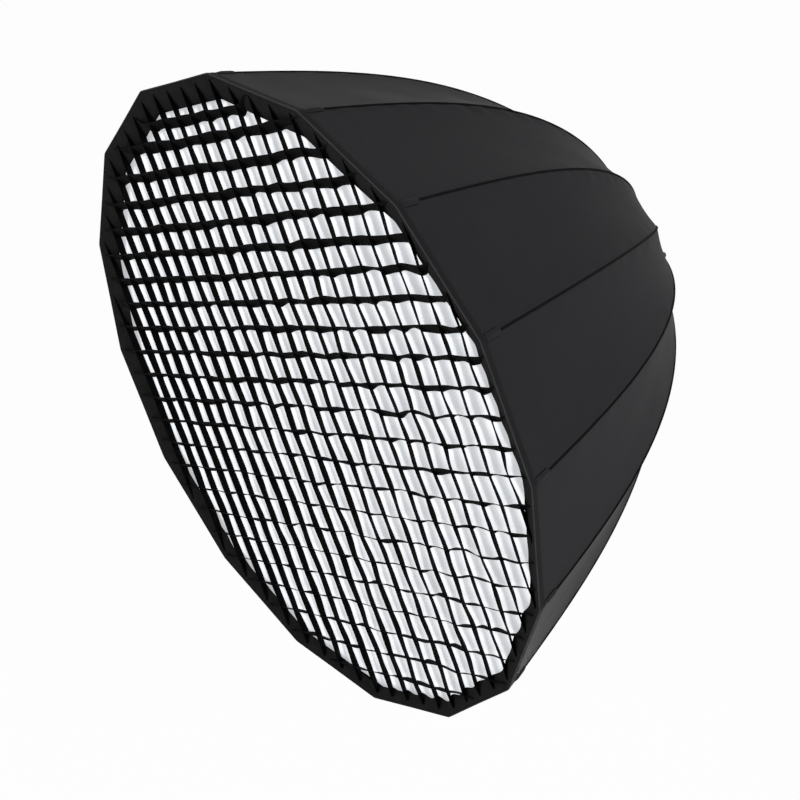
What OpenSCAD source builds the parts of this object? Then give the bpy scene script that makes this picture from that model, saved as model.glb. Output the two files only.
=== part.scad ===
// Deep sixteen-sided softbox on a bayonet speed ring.
// Spring rods fan out from hinged knuckles on the ring and stretch a black canopy.
// A white sheet and a fabric grid close the mouth, and a baffle hangs half way in.
// Light leaves along -Y, +Z is up, and the origin lies on the axis at the bayonet's seat.

/* [Canopy] */
// Width across the corners of the mouth
mouth_d = 1200; // [900:10:1500]
// Depth from the plane of the mouth to the rod pivots
depth = 795; // [640:5:960]
// Thickness of the canopy fabric
fabric_t = 1; // [0.6:0.1:1.6]
// Room between the rod sockets and the fabric
canopy_gap = 0.6; // [0.4:0.1:2]
// Room between two layers of fabric
layer_gap = 0.3; // [0.2:0.1:0.6]
// Thickness of the binding, patches, pockets and tapes
tape_t = 0.8; // [0.5:0.1:1.5]
// Width of the binding folded over the mouth's edge
binding_w = 14; // [8:1:24]
// Width of the hook tape behind the front sheet
hook_past = 3; // [1:0.5:6]
// Length of the sewn patch over each corner
patch_len = 52; // [30:1:80]
// Width of the sewn patch over each corner
patch_w = 26; // [16:1:40]
// Length of the elastic cuff along the speed ring
cuff_len = 3; // [2:0.5:3.5]

/* [Rods] */
// Diameter of a spring rod
rod_d = 5; // [3:0.5:7]
// Bend of a rod from its tip to its socket, in degrees
rod_bend = 43; // [30:1:50]
// Room between the front sheet and the pockets of the rod tips
tip_room = 3; // [1:0.5:12]
// Wall of the soft cap on a rod's tip
cap_wall = 1.7; // [1:0.1:3]
// Length of the soft cap on a rod's tip
cap_len = 14; // [8:1:24]
// Length of the pocket that holds a rod's tip
pocket_len = 40; // [24:1:60]

/* [Knuckles] */
// Length of the round socket beyond the arm
socket_grip = 25; // [16:1:40]
// Wall of a rod socket
socket_wall = 3; // [2:0.25:4]
// Width of a knuckle between its cheeks
knuckle_w = 10; // [8:0.5:12]
// Radius of a knuckle's barrel around its pin
barrel_r = 6.5; // [5:0.25:7.5]
// Length of the flat arm beyond the speed ring's edge
arm_past = 12; // [10:0.5:20]
// Step from the socket's wall down to the faces of the arm
arm_step = 0.6; // [0.3:0.1:1]
// Distance from the pivot to the bottom of a rod socket
socket_floor = 13; // [10:0.5:16]
// Diameter of a hinge pin
pin_d = 4; // [3:0.25:5]
// Depth that each end of a hinge pin is held in the ring
pin_hold = 4.5; // [3:0.5:5]

/* [Speed ring] */
// Wall between the journal and the slots
web_w = 19.75; // [14:0.25:26]
// Width of the speed ring outside the circle of rod pivots
rim_w = 15; // [14:0.5:24]
// Distance of the pivots behind the ring's front face
pivot_cover = 7; // [5:0.5:9]
// Wall of the speed ring behind the slots
ring_back = 3.8; // [2.5:0.1:8]
// Width of the seat that stops each arm at the ring's edge
seat_w = 5; // [3:0.5:8]
// Running clearance around shafts and pins, on the radius
run_clear = 0.05; // [0.02:0.01:0.1]
// Clearance of a pressed or screwed fit, on the radius
fit_clear = 0.02; // [0.01:0.01:0.04]
// Room at the sides and ends of turning pieces
side_clear = 0.2; // [0.1:0.05:0.5]
// Room around a knuckle's barrel in its slot
slot_clear = 0.7; // [0.4:0.1:1.2]

/* [Bayonet adapter] */
// Bore that the lamp shines through
lamp_bore = 90; // [70:1:110]
// Wall of the bayonet spigot
spigot_wall = 4; // [3:0.25:6]
// Length of the bayonet spigot
spigot_len = 14; // [12:0.5:20]
// Reach of a bayonet tab beyond the spigot
tab_reach = 5.5; // [3:0.25:8]
// Thickness of a bayonet tab
tab_t = 3; // [2:0.5:3.5]
// Distance from the seat to the bayonet tabs
tab_gap = 8; // [5:0.5:8.5]
// Arc of a bayonet tab in degrees
tab_arc = 38; // [24:1:50]
// Number of bayonet tabs
tab_count = 3; // [3:1:4]
// Width of the seat flange around the spigot
flange_w = 23; // [12:1:26]
// Thickness of the seat flange
flange_t = 4; // [3:0.5:6]
// Wall of the journal that the speed ring turns on
journal_wall = 8; // [7:0.25:12]
// Thickness of the retaining ring
retainer_t = 3; // [2:0.5:5]
// Width of the retaining ring outside the journal
retainer_w = 10; // [6:0.5:14]
// Diameter of a retaining screw
screw_d = 3; // [2.5:0.5:4]
// Length of a retaining screw under its head
screw_len = 12; // [8:0.5:16]
// Diameter of a retaining screw's head
screw_head_d = 5.4; // [4.5:0.1:7]
// Height of a retaining screw's head
screw_head_h = 1.8; // [1.2:0.1:2.5]
// Size of the hexagon in a retaining screw's head
screw_key_d = 2.4; // [1.5:0.1:2.5]
// Depth of the hexagon in a retaining screw's head
screw_key_h = 1.1; // [0.6:0.1:1.4]
// Number of retaining screws
screw_count = 6; // [3:1:8]

/* [Lock knob] */
// Diameter of the lock knob
knob_d = 15; // [12:0.5:16]
// Height of the lock knob
knob_h = 18; // [12:1:26]
// Diameter of the neck under the lock knob's grip
knob_neck_d = 11; // [9:0.5:12]
// Height of the neck under the lock knob's grip
knob_neck_h = 4.5; // [2:0.5:8]
// Diameter of the finger grooves around the lock knob
groove_d = 4.2; // [2:0.2:5]
// Number of finger grooves around the lock knob
groove_count = 7; // [5:1:9]
// Depth that the lock screw is held in the knob
knob_bore = 11; // [8:0.5:11.5]
// Diameter of the lock screw
lock_screw_d = 6; // [4:0.5:6.5]
// Place of the lock screw between two rods, counted in rods from the top
lock_place = 4.5; // [0.5:1:15.5]
// Distance of the lock screw from the ring's back face
lock_inset = 5.3; // [4.5:0.1:6]

/* [Front sheet and grid] */
// Spacing of the grid's strips
grid_pitch = 66; // [62:1:120]
// Depth of the grid
grid_depth = 21; // [12:1:22]
// Thickness of a grid strip
strip_t = 1.2; // [0.8:0.1:2]
// Distance of the grid behind the edge of the mouth
grid_setback = 3.2; // [3:0.1:4]
// Width of the flat border around the grid
border_w = 24; // [14:1:40]
// Thickness of the front sheet and the baffle
sheet_t = 0.8; // [0.5:0.1:1.2]

/* [Baffle] */
// Distance of the baffle behind the mouth
baffle_depth = 470; // [300:5:560]
// Length of the elastic loops between baffle and rods
loop_len = 26; // [16:1:50]
// Width of an elastic loop
loop_w = 8; // [5:0.5:12]

/* [Hidden] */
rod_count = 16;
rod_sides = 8;
rod_rings = 16;
canopy_rows = 22;
patch_rows = 3;
bow_steps = 12;
search_steps = 30;
eps = 0.01;
// How far a cut runs past a face
over = 1;
$fn = 96;

rod_step = 360 / rod_count;
half_step = rod_step / 2;
rod_r = rod_d / 2;
pin_r = pin_d / 2;
screw_r = screw_d / 2;
lock_r = lock_screw_d / 2;
bore_r = lamp_bore / 2;
spigot_r = bore_r + spigot_wall;
journal_r = bore_r + journal_wall;
slot_w = knuckle_w + 2 * side_clear;

// Radii of the speed ring, from the journal outwards
slot_in_r = journal_r + run_clear + web_w;
pivot_r = slot_in_r + slot_clear + barrel_r;
ring_r = pivot_r + rim_w;
seat_r = ring_r - seat_w;

// Knuckles and rod ends
socket_r = rod_r + run_clear + socket_wall;
arm_half = socket_r - arm_step;
arm_len = ring_r - pivot_r + arm_past;
socket_len = arm_len + socket_grip;
cap_r = rod_r + run_clear + cap_wall;
pocket_r = cap_r + layer_gap;

// Planes along the axis, from the seat forward
ring_back_y = -flange_t - side_clear;
slot_floor_y = ring_back_y - ring_back;
pivot_y = slot_floor_y - slot_clear - barrel_r;
ring_front_y = pivot_y - pivot_cover;
journal_front_y = ring_front_y - side_clear;
retainer_front_y = journal_front_y - retainer_t;
lock_y = ring_back_y - lock_inset;
mouth_y = pivot_y - depth;

// Offsets from the rods' centre line to the layers of the canopy
skin_in = socket_r + canopy_gap;
skin_out = skin_in + fabric_t;
lining = skin_in - layer_gap;
cover = skin_out + layer_gap;

// A rod bends like a wand pulled at its tip: the bend grows with the square of the distance.
// Direction after the share u of the bent length, as [along the axis, towards the axis]
function bow_dir(u) = [cos(rod_bend * u * u), sin(rod_bend * u * u)];
function vector_sum(list, i = 0) = i < len(list) ? list[i] + vector_sum(list, i + 1) : [0, 0];
function simpson(i) = i == 0 || i == bow_steps ? 1 : 2 + 2 * (i % 2);
// Way covered after the share u, by Simpson's rule on a rod of length 1
function bow(u) =
    vector_sum([for (i = [0:bow_steps]) simpson(i) * bow_dir(u * i / bow_steps)])
    * u / bow_steps / 3;
function turned(v, a) = [v.x * cos(a) - v.y * sin(a), v.x * sin(a) + v.y * cos(a)];

bow_whole = bow(1);
root_run = socket_len * bow_dir(1);
// Bent length that reaches from the pivots to a mouth of radius r
function bent_len(r) =
    let (ab = bow_whole * root_run, aa = bow_whole * bow_whole)
    (-ab + sqrt(ab * ab - aa * (root_run * root_run - depth * depth - pow(r - pivot_r, 2)))) / aa;
// Slope of the rods at a mouth of radius r
function mouth_slope(r) =
    let (run = bent_len(r) * bow_whole + root_run)
    atan2(r - pivot_r, depth) - atan2(run.y, run.x);

tip_r = mouth_d / 2 - skin_out * cos(mouth_slope(mouth_d / 2 - skin_out));
curve_len = bent_len(tip_r);
slope_tip = mouth_slope(tip_r);
slope_root = slope_tip + rod_bend;
path_len = curve_len + socket_len;

// Slope and [y, radius] of the rods' line at the distance s from the mouth
function slope(s) = slope_tip + rod_bend * pow(min(max(s, 0), curve_len) / curve_len, 2);
function line(s) =
    let (
        bent = curve_len * turned(bow(min(max(s, 0), curve_len) / curve_len), slope_tip),
        rest = s < 0 ? s : max(0, s - curve_len),
        run = bent + rest * [cos(slope(s)), sin(slope(s))]
    )
    [mouth_y + run.x, tip_r - run.y];
// [y, radius] of a layer of the canopy that lies off outside the rods' line
function skin(s, off) = line(s) + off * [sin(slope(s)), cos(slope(s))];
// Distance along a layer near the mouth, and its radius, at the distance dy behind the mouth
function lip_s(dy, off) = (dy - off * sin(slope_tip)) / cos(slope_tip);
function lip_r(dy, off) = skin(lip_s(dy, off), off).y;
// Distance along the rods' line of the point dy behind the mouth
function s_at(dy, low = 0, high = path_len, n = search_steps) =
    let (mid = (low + high) / 2)
    n == 0 ? mid : line(mid).x - mouth_y < dy ? s_at(dy, mid, high, n - 1) : s_at(dy, low, mid, n - 1);
// A point at [y, radius] turned to the rod k, and a point w to the side of it on the flat panel
function at_rod(p, k) = [p.y * sin(k * rod_step), p.x, p.y * cos(k * rod_step)];
function beside(p, k, w) =
    let (share = abs(w) / (2 * p.y * sin(half_step)))
    at_rod(p, k) * (1 - share) + at_rod(p, k + sign(w)) * share;

// Where the back of an open arm lies at the radius r
function arm_back_y(r) =
    pivot_y + arm_half * sin(slope_root)
    - (r - pivot_r - arm_half * cos(slope_root)) / tan(slope_root);
seat_y = arm_back_y(seat_r) + side_clear / sin(slope_root);

// The canopy stops just short of the speed ring, and the cuff closes the rest
canopy_end_r = (ring_r + layer_gap) / cos(half_step);
canopy_end = path_len - (canopy_end_r - pivot_r - skin_in * cos(slope_root)) / sin(slope_root);
cuff_front_y = skin(canopy_end, skin_out).x + layer_gap;

// Layers in the mouth, and the rod tips behind them
binding_in = lining - tape_t;
grid_front_y = mouth_y + grid_setback;
grid_back_y = grid_front_y + grid_depth;
border_front_y = grid_front_y - layer_gap - tape_t;
sheet_y = grid_back_y + layer_gap;
sheet_back = sheet_y + sheet_t - mouth_y;
hook_start = binding_w + 2 * layer_gap;
hook_end = lip_s(sheet_back, lining) + hook_past;
sheet_r = lip_r(sheet_back, binding_in - layer_gap);
grid_r = lip_r(grid_back_y - mouth_y, binding_in - layer_gap);
border_r = lip_r(grid_front_y - mouth_y, binding_in - layer_gap);
pocket_front = lip_s(sheet_back + tip_room, -pocket_r - tape_t);
tip_setback = pocket_front + tape_t + layer_gap + cap_r;

lock_angle = lock_place * rod_step;
knob_base = ring_r + layer_gap + tape_t + 2 * layer_gap;

rod_s = s_at(baffle_depth);
baffle_r = line(rod_s).y - loop_len;

rod_nodes = [for (k = [1:rod_count]) str("rod_", k < 10 ? "0" : "", k)];
knuckle_nodes = [for (k = [1:rod_count]) str("knuckle_", k < 10 ? "0" : "", k)];

// Turns a shape built on +Z onto the axis, so that its +Z points backwards
module on_axis(y = 0) {
    translate([0, y, 0]) rotate([-90, 0, 0]) children();
}

// Turns a shape built in the plane of the top rod to the rod k
module toward(k) {
    rotate([0, k * rod_step, 0]) children();
}

// Places a shape on the rod k, with +Z towards the tip and +Y outwards
module on_rod(k, s) {
    p = line(s);
    toward(k) translate([0, p.x, p.y]) rotate([90 - slope(s), 0, 0]) children();
}

module ring_tube(r_out, r_in, y_front, y_back) {
    on_axis(y_front) difference() {
        cylinder(r = r_out, h = y_back - y_front);
        translate([0, 0, -over]) cylinder(r = r_in, h = y_back - y_front + 2 * over);
    }
}

// Closed band around the canopy whose outline is a loop of [s, off] points
module skin_ring(loop) {
    n = len(loop);
    points = [for (k = [0:rod_count - 1], p = loop) at_rod(skin(p[0], p[1]), k)];
    faces = [
        for (k = [0:rod_count - 1], j = [0:n - 1])
            let (
                a = k * n + j,
                b = k * n + (j + 1) % n,
                c = ((k + 1) % rod_count) * n + (j + 1) % n,
                d = ((k + 1) % rod_count) * n + j
            )
            each [[a, c, b], [a, d, c]]
    ];
    polyhedron(points, faces);
}

// Band between two offsets, from the distance s0 to s1
module skin_band(s0, s1, off_in, off_out) {
    skin_ring([[s0, off_out], [s1, off_out], [s1, off_in], [s0, off_in]]);
}

// Corners of the mouth's outline, drawn at the radius r
module mouth_outline(r) {
    polygon([for (k = [0:rod_count - 1]) r * [cos(k * rod_step), sin(k * rod_step)]]);
}

module mouth_plate(r, y, t) {
    on_axis(y) linear_extrude(t) mouth_outline(r);
}

// Places a shape at each retaining screw, with +Z pointing backwards from the ring's face
module at_screws() {
    for (i = [0:screw_count - 1])
        on_axis(retainer_front_y) rotate((i + 0.5) * 360 / screw_count)
            translate([(bore_r + journal_r) / 2, 0, 0]) children();
}

// Fixed ring that locks into the lamp: journal, seat flange, spigot and tabs
module adapter_ring() {
    color("silver") difference() {
        union() {
            on_axis(journal_front_y) cylinder(r = journal_r, h = -journal_front_y - flange_t + eps);
            on_axis(-flange_t) cylinder(r = spigot_r + flange_w, h = flange_t);
            on_axis(-eps) cylinder(r = spigot_r, h = spigot_len + eps);
            for (i = [0:tab_count - 1])
                on_axis(tab_gap) rotate(i * 360 / tab_count) rotate_extrude(angle = tab_arc)
                    translate([bore_r + spigot_wall / 2, 0])
                        square([tab_reach + spigot_wall / 2, tab_t]);
        }
        on_axis(journal_front_y - over) cylinder(r = bore_r, h = spigot_len - journal_front_y + 2 * over);
        at_screws() cylinder(r = screw_r + fit_clear, h = screw_len + screw_d, $fn = 32);
    }
}

// Ring screwed to the journal that keeps the speed ring on it
module retaining_ring() {
    color("dimgray") difference() {
        ring_tube(journal_r + retainer_w, bore_r + side_clear, retainer_front_y, journal_front_y);
        at_screws() translate([0, 0, -over])
            cylinder(r = screw_r + side_clear / 2, h = retainer_t + 2 * over, $fn = 32);
    }
}

module retaining_screws() {
    color("gainsboro") at_screws() {
        cylinder(r = screw_r, h = screw_len, $fn = 32);
        translate([0, 0, -screw_head_h]) difference() {
            cylinder(d = screw_head_d, h = screw_head_h, $fn = 32);
            translate([0, 0, -over]) cylinder(d = screw_key_d, h = over + screw_key_h, $fn = 6);
        }
    }
}

// Turning ring with a slot, a stop seat and pin holes for each knuckle
module speed_ring() {
    color([0.12, 0.12, 0.13]) difference() {
        ring_tube(ring_r, journal_r + run_clear, ring_front_y, ring_back_y);
        for (k = [0:rod_count - 1]) toward(k) {
            translate([-slot_w / 2, ring_front_y - over, slot_in_r])
                cube([slot_w, slot_floor_y - ring_front_y + over, seat_r - slot_in_r]);
            translate([-slot_w / 2, ring_front_y - over, seat_r - eps])
                cube([slot_w, seat_y - ring_front_y + over, seat_w + over]);
            translate([0, pivot_y, pivot_r]) rotate([0, 90, 0])
                cylinder(r = pin_r + fit_clear, h = slot_w + 2 * pin_hold + side_clear,
                    center = true, $fn = 32);
        }
        rotate([0, lock_angle, 0]) translate([0, lock_y, journal_r - over])
            cylinder(r = lock_r + run_clear, h = ring_r, $fn = 48);
    }
}

module hinge_pins() {
    color("silver") for (k = [0:rod_count - 1])
        toward(k) translate([0, pivot_y, pivot_r]) rotate([0, 90, 0])
            cylinder(r = pin_r, h = slot_w + 2 * pin_hold, center = true, $fn = 32);
}

// Screw that clamps the speed ring on the journal
module lock_screw() {
    inner = journal_r + side_clear;
    color("silver") rotate([0, lock_angle, 0]) translate([0, lock_y, inner])
        cylinder(r = lock_r, h = knob_base + knob_bore - inner, $fn = 48);
}

module lock_knob() {
    color([0.1, 0.1, 0.1]) rotate([0, lock_angle, 0]) translate([0, lock_y, knob_base])
        difference() {
            union() {
                cylinder(d = knob_neck_d, h = knob_neck_h + eps);
                translate([0, 0, knob_neck_h]) cylinder(d = knob_d, h = knob_h - knob_neck_h);
            }
            for (i = [0:groove_count - 1])
                rotate(i * 360 / groove_count)
                    translate([knob_d / 2 + groove_d / 4, 0, knob_neck_h - eps])
                        cylinder(d = groove_d, h = knob_h, $fn = 24);
            translate([0, 0, -over])
                cylinder(r = lock_r + fit_clear, h = knob_bore + over + fit_clear, $fn = 48);
        }
}

// Sixteen sewn panels, stretched from the mouth to the speed ring
module canopy() {
    rows = [for (i = [0:canopy_rows]) canopy_end * i / canopy_rows];
    color([0.17, 0.17, 0.18]) skin_ring(concat(
        [for (s = rows) [s, skin_out]],
        [for (i = [canopy_rows:-1:0]) [rows[i], skin_in]]
    ));
}

// Tape folded over the edge of the mouth
module rim_binding() {
    front = -layer_gap - tape_t;
    color([0.07, 0.07, 0.07]) skin_ring([
        [front, cover + tape_t], [binding_w, cover + tape_t], [binding_w, cover],
        [-layer_gap, cover], [-layer_gap, lining], [binding_w, lining],
        [binding_w, binding_in], [front, binding_in]
    ]);
}

// Patch sewn over a corner of the mouth, folded along the rod
module corner_patch(k) {
    start = binding_w + 2 * layer_gap;
    rows = [for (i = [0:patch_rows]) start + patch_len * i / patch_rows];
    sides = [-patch_w / 2, 0, patch_w / 2];
    points = [
        for (s = rows) each concat(
            [for (w = sides) beside(skin(s, cover), k, w)],
            [for (i = [2:-1:0]) beside(skin(s, cover + tape_t), k, sides[i])]
        )
    ];
    last = 6 * patch_rows;
    faces = concat(
        [
            for (r = [0:patch_rows - 1], j = [0:5])
                let (a = 6 * r + j, b = 6 * r + (j + 1) % 6)
                each [[a, a + 6, b + 6], [a, b + 6, b]]
        ],
        [[0, 1, 4], [0, 4, 5], [1, 2, 3], [1, 3, 4]],
        [for (f = [[0, 4, 1], [0, 5, 4], [1, 3, 2], [1, 4, 3]]) f + last * [1, 1, 1]]
    );
    polyhedron(points, faces);
}

module corner_patches() {
    color([0.1, 0.1, 0.1]) for (k = [0:rod_count - 1]) corner_patch(k);
}

// Sleeves sewn inside the corners that take the caps of the rods
module rod_pockets() {
    color([0.08, 0.08, 0.08]) for (k = [0:rod_count - 1])
        on_rod(k, tip_setback) translate([0, 0, cap_r + layer_gap - pocket_len]) difference() {
            cylinder(r = pocket_r + tape_t, h = pocket_len + tape_t, $fn = 32);
            translate([0, 0, -over]) cylinder(r = pocket_r, h = pocket_len + over, $fn = 32);
        }
}

// Elastic cuff, notched where a steep canopy brings it up to the lock screw
module rear_cuff() {
    r_in = ring_r + layer_gap;
    color([0.06, 0.06, 0.06]) difference() {
        ring_tube(r_in + tape_t, r_in, cuff_front_y, cuff_front_y + cuff_len);
        rotate([0, lock_angle, 0]) translate([0, lock_y, r_in - over])
            cylinder(r = lock_r + layer_gap, h = tape_t + 2 * over, $fn = 48);
    }
}

module hook_tape() {
    color([0.08, 0.08, 0.08]) skin_band(hook_start, hook_end, binding_in, lining);
}

module front_sheet() {
    color([0.94, 0.95, 0.97]) mouth_plate(sheet_r, sheet_y, sheet_t);
}

module inner_baffle() {
    color([0.94, 0.95, 0.97]) mouth_plate(baffle_r, mouth_y + baffle_depth - sheet_t / 2, sheet_t);
}

// Elastic loops that tie the corners of the baffle to the rods
module baffle_loops() {
    eye_r = rod_r + 2 * layer_gap;
    strap_end = line(rod_s).y - (eye_r + tape_t / 2) / cos(slope(rod_s));
    color([0.15, 0.15, 0.15]) for (k = [0:rod_count - 1]) difference() {
        union() {
            on_rod(k, rod_s) cylinder(r = eye_r + tape_t, h = loop_w, center = true, $fn = 32);
            toward(k) translate([-loop_w / 2, mouth_y + baffle_depth - tape_t / 2, baffle_r + layer_gap])
                cube([loop_w, tape_t, strap_end - baffle_r - layer_gap]);
        }
        on_rod(k, rod_s) cylinder(r = eye_r, h = 2 * loop_w, center = true, $fn = 32);
    }
}

// Flat border that joins the grid to the binding
module grid_border() {
    color([0.06, 0.06, 0.06]) on_axis(border_front_y) linear_extrude(tape_t) difference() {
        mouth_outline(border_r);
        mouth_outline(border_r - border_w);
    }
}

// Crossed fabric strips, with rows along a side of the mouth. Slivers of cells stay closed.
module grid_strips() {
    inner = grid_r - strip_t;
    reach = ceil(grid_r / grid_pitch);
    gap = grid_pitch - strip_t;
    color([0.06, 0.06, 0.06]) on_axis(grid_front_y) linear_extrude(grid_depth) difference() {
        mouth_outline(grid_r);
        for (i = [-reach:reach - 1], j = [-reach:reach - 1])
            if (norm([i + 0.5, j + 0.5]) * grid_pitch < inner * cos(half_step) + grid_pitch / 4)
                intersection() {
                    mouth_outline(inner);
                    rotate(-half_step) translate([i * grid_pitch + strip_t / 2, j * grid_pitch + strip_t / 2])
                        square(gap);
                }
    }
}

// Spring rod of the corner k, with its soft cap
module rod(k) {
    root = path_len - socket_floor;
    stops = concat(
        [for (i = [0:rod_rings]) tip_setback + (curve_len - tip_setback) * i / rod_rings], [root]
    );
    rings = len(stops);
    points = [
        for (s = stops, i = [0:rod_sides - 1])
            let (a = (i + 0.5) * 360 / rod_sides, p = skin(s, rod_r * sin(a)), x = rod_r * cos(a))
            [x, p.x, p.y]
    ];
    faces = concat(
        [
            for (r = [0:rings - 2], i = [0:rod_sides - 1])
                let (a = r * rod_sides + i, b = r * rod_sides + (i + 1) % rod_sides)
                each [[a, b + rod_sides, a + rod_sides], [a, b, b + rod_sides]]
        ],
        [for (i = [1:rod_sides - 2]) [0, i + 1, i]],
        [for (i = [1:rod_sides - 2]) [0, i, i + 1] + (rings - 1) * rod_sides * [1, 1, 1]]
    );
    color([0.55, 0.56, 0.58]) toward(k) polyhedron(points, faces);
    color([0.1, 0.1, 0.1]) on_rod(k, tip_setback) difference() {
        union() {
            translate([0, 0, -cap_len]) cylinder(r = cap_r, h = cap_len, $fn = 32);
            sphere(r = cap_r, $fn = 32);
        }
        translate([0, 0, -cap_len - over])
            cylinder(r = rod_r + run_clear, h = cap_len + over + run_clear, $fn = 32);
    }
}

// Hinged knuckle of the corner k: barrel on the pin, flat arm and rod socket
module knuckle(k) {
    color([0.2, 0.2, 0.21]) on_rod(k, path_len) difference() {
        union() {
            rotate([0, 90, 0]) cylinder(r = barrel_r, h = knuckle_w, center = true, $fn = 48);
            translate([-knuckle_w / 2, -arm_half, 0]) cube([knuckle_w, 2 * arm_half, arm_len]);
            translate([0, 0, arm_len - eps]) cylinder(r = socket_r, h = socket_grip + eps, $fn = 48);
        }
        rotate([0, 90, 0]) cylinder(r = pin_r + run_clear, h = 2 * knuckle_w, center = true, $fn = 32);
        translate([0, 0, socket_floor - run_clear])
            cylinder(r = rod_r + run_clear, h = socket_len, $fn = 32);
    }
}

adapter_ring();
retaining_ring();
retaining_screws();
speed_ring();
hinge_pins();
lock_screw();
lock_knob();
canopy();
rim_binding();
corner_patches();
rod_pockets();
rear_cuff();
hook_tape();
front_sheet();
inner_baffle();
baffle_loops();
grid_border();
grid_strips();
for (k = [0:rod_count - 1]) {
    rod(k);
    knuckle(k);
}
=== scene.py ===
"""Deep sixteen-sided softbox with a fabric grid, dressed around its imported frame.

Lengths are in metres. Light leaves along -Y, +Z is up, and the Y axis is the softbox's axis.
A corner is one of the sixteen corners of the mouth, each with its spring rod. Corner 0 is at
the top, and they run towards +X. Seen along a corner's rod, a point has a radius u, a side v
and a place y on the axis.
"""

import logging
import math
from dataclasses import dataclass, field
from enum import Enum, IntEnum
from functools import cached_property

import bmesh
import bpy
import numpy as np
from mathutils import Matrix, Vector


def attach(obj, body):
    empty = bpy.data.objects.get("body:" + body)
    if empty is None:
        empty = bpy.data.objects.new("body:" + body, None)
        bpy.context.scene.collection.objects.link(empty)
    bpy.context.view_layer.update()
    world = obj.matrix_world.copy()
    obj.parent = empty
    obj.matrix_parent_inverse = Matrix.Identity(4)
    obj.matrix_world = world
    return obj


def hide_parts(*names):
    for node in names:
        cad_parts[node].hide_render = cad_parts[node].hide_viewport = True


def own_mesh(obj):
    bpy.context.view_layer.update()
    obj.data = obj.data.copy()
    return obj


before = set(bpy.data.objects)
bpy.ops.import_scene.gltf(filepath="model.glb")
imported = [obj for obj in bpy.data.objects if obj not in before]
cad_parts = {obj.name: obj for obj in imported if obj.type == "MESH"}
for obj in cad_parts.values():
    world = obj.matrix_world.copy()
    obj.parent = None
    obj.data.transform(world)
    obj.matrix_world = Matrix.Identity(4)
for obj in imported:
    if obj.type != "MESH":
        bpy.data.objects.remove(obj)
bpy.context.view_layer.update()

LOG = logging.getLogger("softbox")
Array = np.ndarray
Point = tuple[float, float, float]
Material, Object = bpy.types.Material, bpy.types.Object
Socket, Tree = bpy.types.NodeSocket, bpy.types.NodeTree
MM = 0.001
CORNERS = 16
STEP = 2 * math.pi / CORNERS
HALF = STEP / 2
SIN_H, COS_H = math.sin(HALF), math.cos(HALF)
CLOTH_MAP = "Cloth"
WAVE_TURN = math.pi / 10  # a wave texture of scale 1 repeats after this length
SEED = 16
CREASE = 2.5 * MM  # how far the rounding of a corner reaches along the sides
CHART_SHIFT = 0.3  # shift of the cloth's map from corner to corner
HEM_SHARE = 0.003  # narrow step at the ends of a row, as a share of half of it
BUNCH_LEAN = math.radians(11)  # how far a sheet's way in leans backwards
MEAN_SINE = 0.64  # mean height of half a sine


class Weave(Enum):
    """How the threads of a cloth show."""

    PLAIN = "plain"
    RIB = "rib"
    PILE = "pile"


class Tooling(Enum):
    """How the surface of a hard piece was made."""

    TURNED = "turned"
    DRAWN = "drawn"
    MOULDED = "moulded"


def linear(colour: str) -> tuple[float, float, float, float]:
    """Turns a hex colour into linear light.

    Args:
        colour: an sRGB value such as "#1a1a1c".

    Returns:
        Red, green, blue and alpha.
    """
    parts = np.array([int(colour[i:i + 2], 16) for i in (1, 3, 5)]) / 255
    light = np.where(parts <= 0.04045, parts / 12.92, ((parts + 0.055) / 1.055) ** 2.4)
    return (*light.tolist(), 1.0)


def add_node(tree: Tree, kind: str, inputs: dict | None = None,
             **settings: object) -> bpy.types.Node:
    """Adds a node with its settings and its inputs.

    Args:
        tree: the material's or world's node tree.
        kind: the node's type name.
        inputs: a value, or an output socket to link, for each input by name or number.
        settings: the node's own properties.

    Returns:
        The new node.
    """
    node = tree.nodes.new(kind)
    for key, value in settings.items():
        setattr(node, key, value)
    for key, value in (inputs or {}).items():
        if isinstance(value, Socket):
            tree.links.new(value, node.inputs[key])
        else:
            node.inputs[key].default_value = value
    return node


def show(name: str, data: bpy.types.ID) -> Object:
    """Puts new data into the scene.

    Args:
        name: the object's name.
        data: its mesh, lamp or camera.

    Returns:
        The object, at the origin.
    """
    obj = bpy.data.objects.new(name, data)
    bpy.context.scene.collection.objects.link(obj)
    return obj


def ease(x: Array, low: float, high: float) -> Array:
    """Smooth step: 0 below low, 1 above high, and 3t^2 - 2t^3 between them."""
    t = np.clip((x - low) / (high - low), 0, 1)
    return t * t * (3 - 2 * t)


def hemmed(low: float, high: float, steps: int, hem: float) -> Array:
    """Even stops with a narrow step at each end, which hides the bend of the shading there."""
    return np.concatenate([[low], np.linspace(low + hem, high - hem, steps + 1), [high]])


def stack(*parts: Array | float) -> Array:
    """Joins coordinates, spread to one shape, along a new last axis."""
    return np.stack(np.broadcast_arrays(*parts), axis=-1)


def calc(tree: Tree, operation: str, *values: object) -> Socket:
    """Adds a calculation on values or sockets, and returns its result."""
    node = add_node(tree, "ShaderNodeMath", dict(enumerate(values)), operation=operation)
    return node.outputs[0]


def start_material(name: str, constants: dict[str, object]) -> Material:
    """Starts a material and sets the constants of its shader.

    Args:
        name: the material's name.
        constants: a value for each of the shader's inputs by name.

    Returns:
        The material.
    """
    material = bpy.data.materials.new(name)
    material.use_nodes = True
    for key, value in constants.items():
        material.node_tree.nodes["Principled BSDF"].inputs[key].default_value = value
    return material


def noise(tree: Tree, where: Socket, grain: float, **more: float) -> Socket:
    """Adds a noise whose grains have this length, and returns its value."""
    inputs = {"Vector": where, "Scale": 1 / grain} | more
    return add_node(tree, "ShaderNodeTexNoise", inputs).outputs["Fac"]


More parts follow.
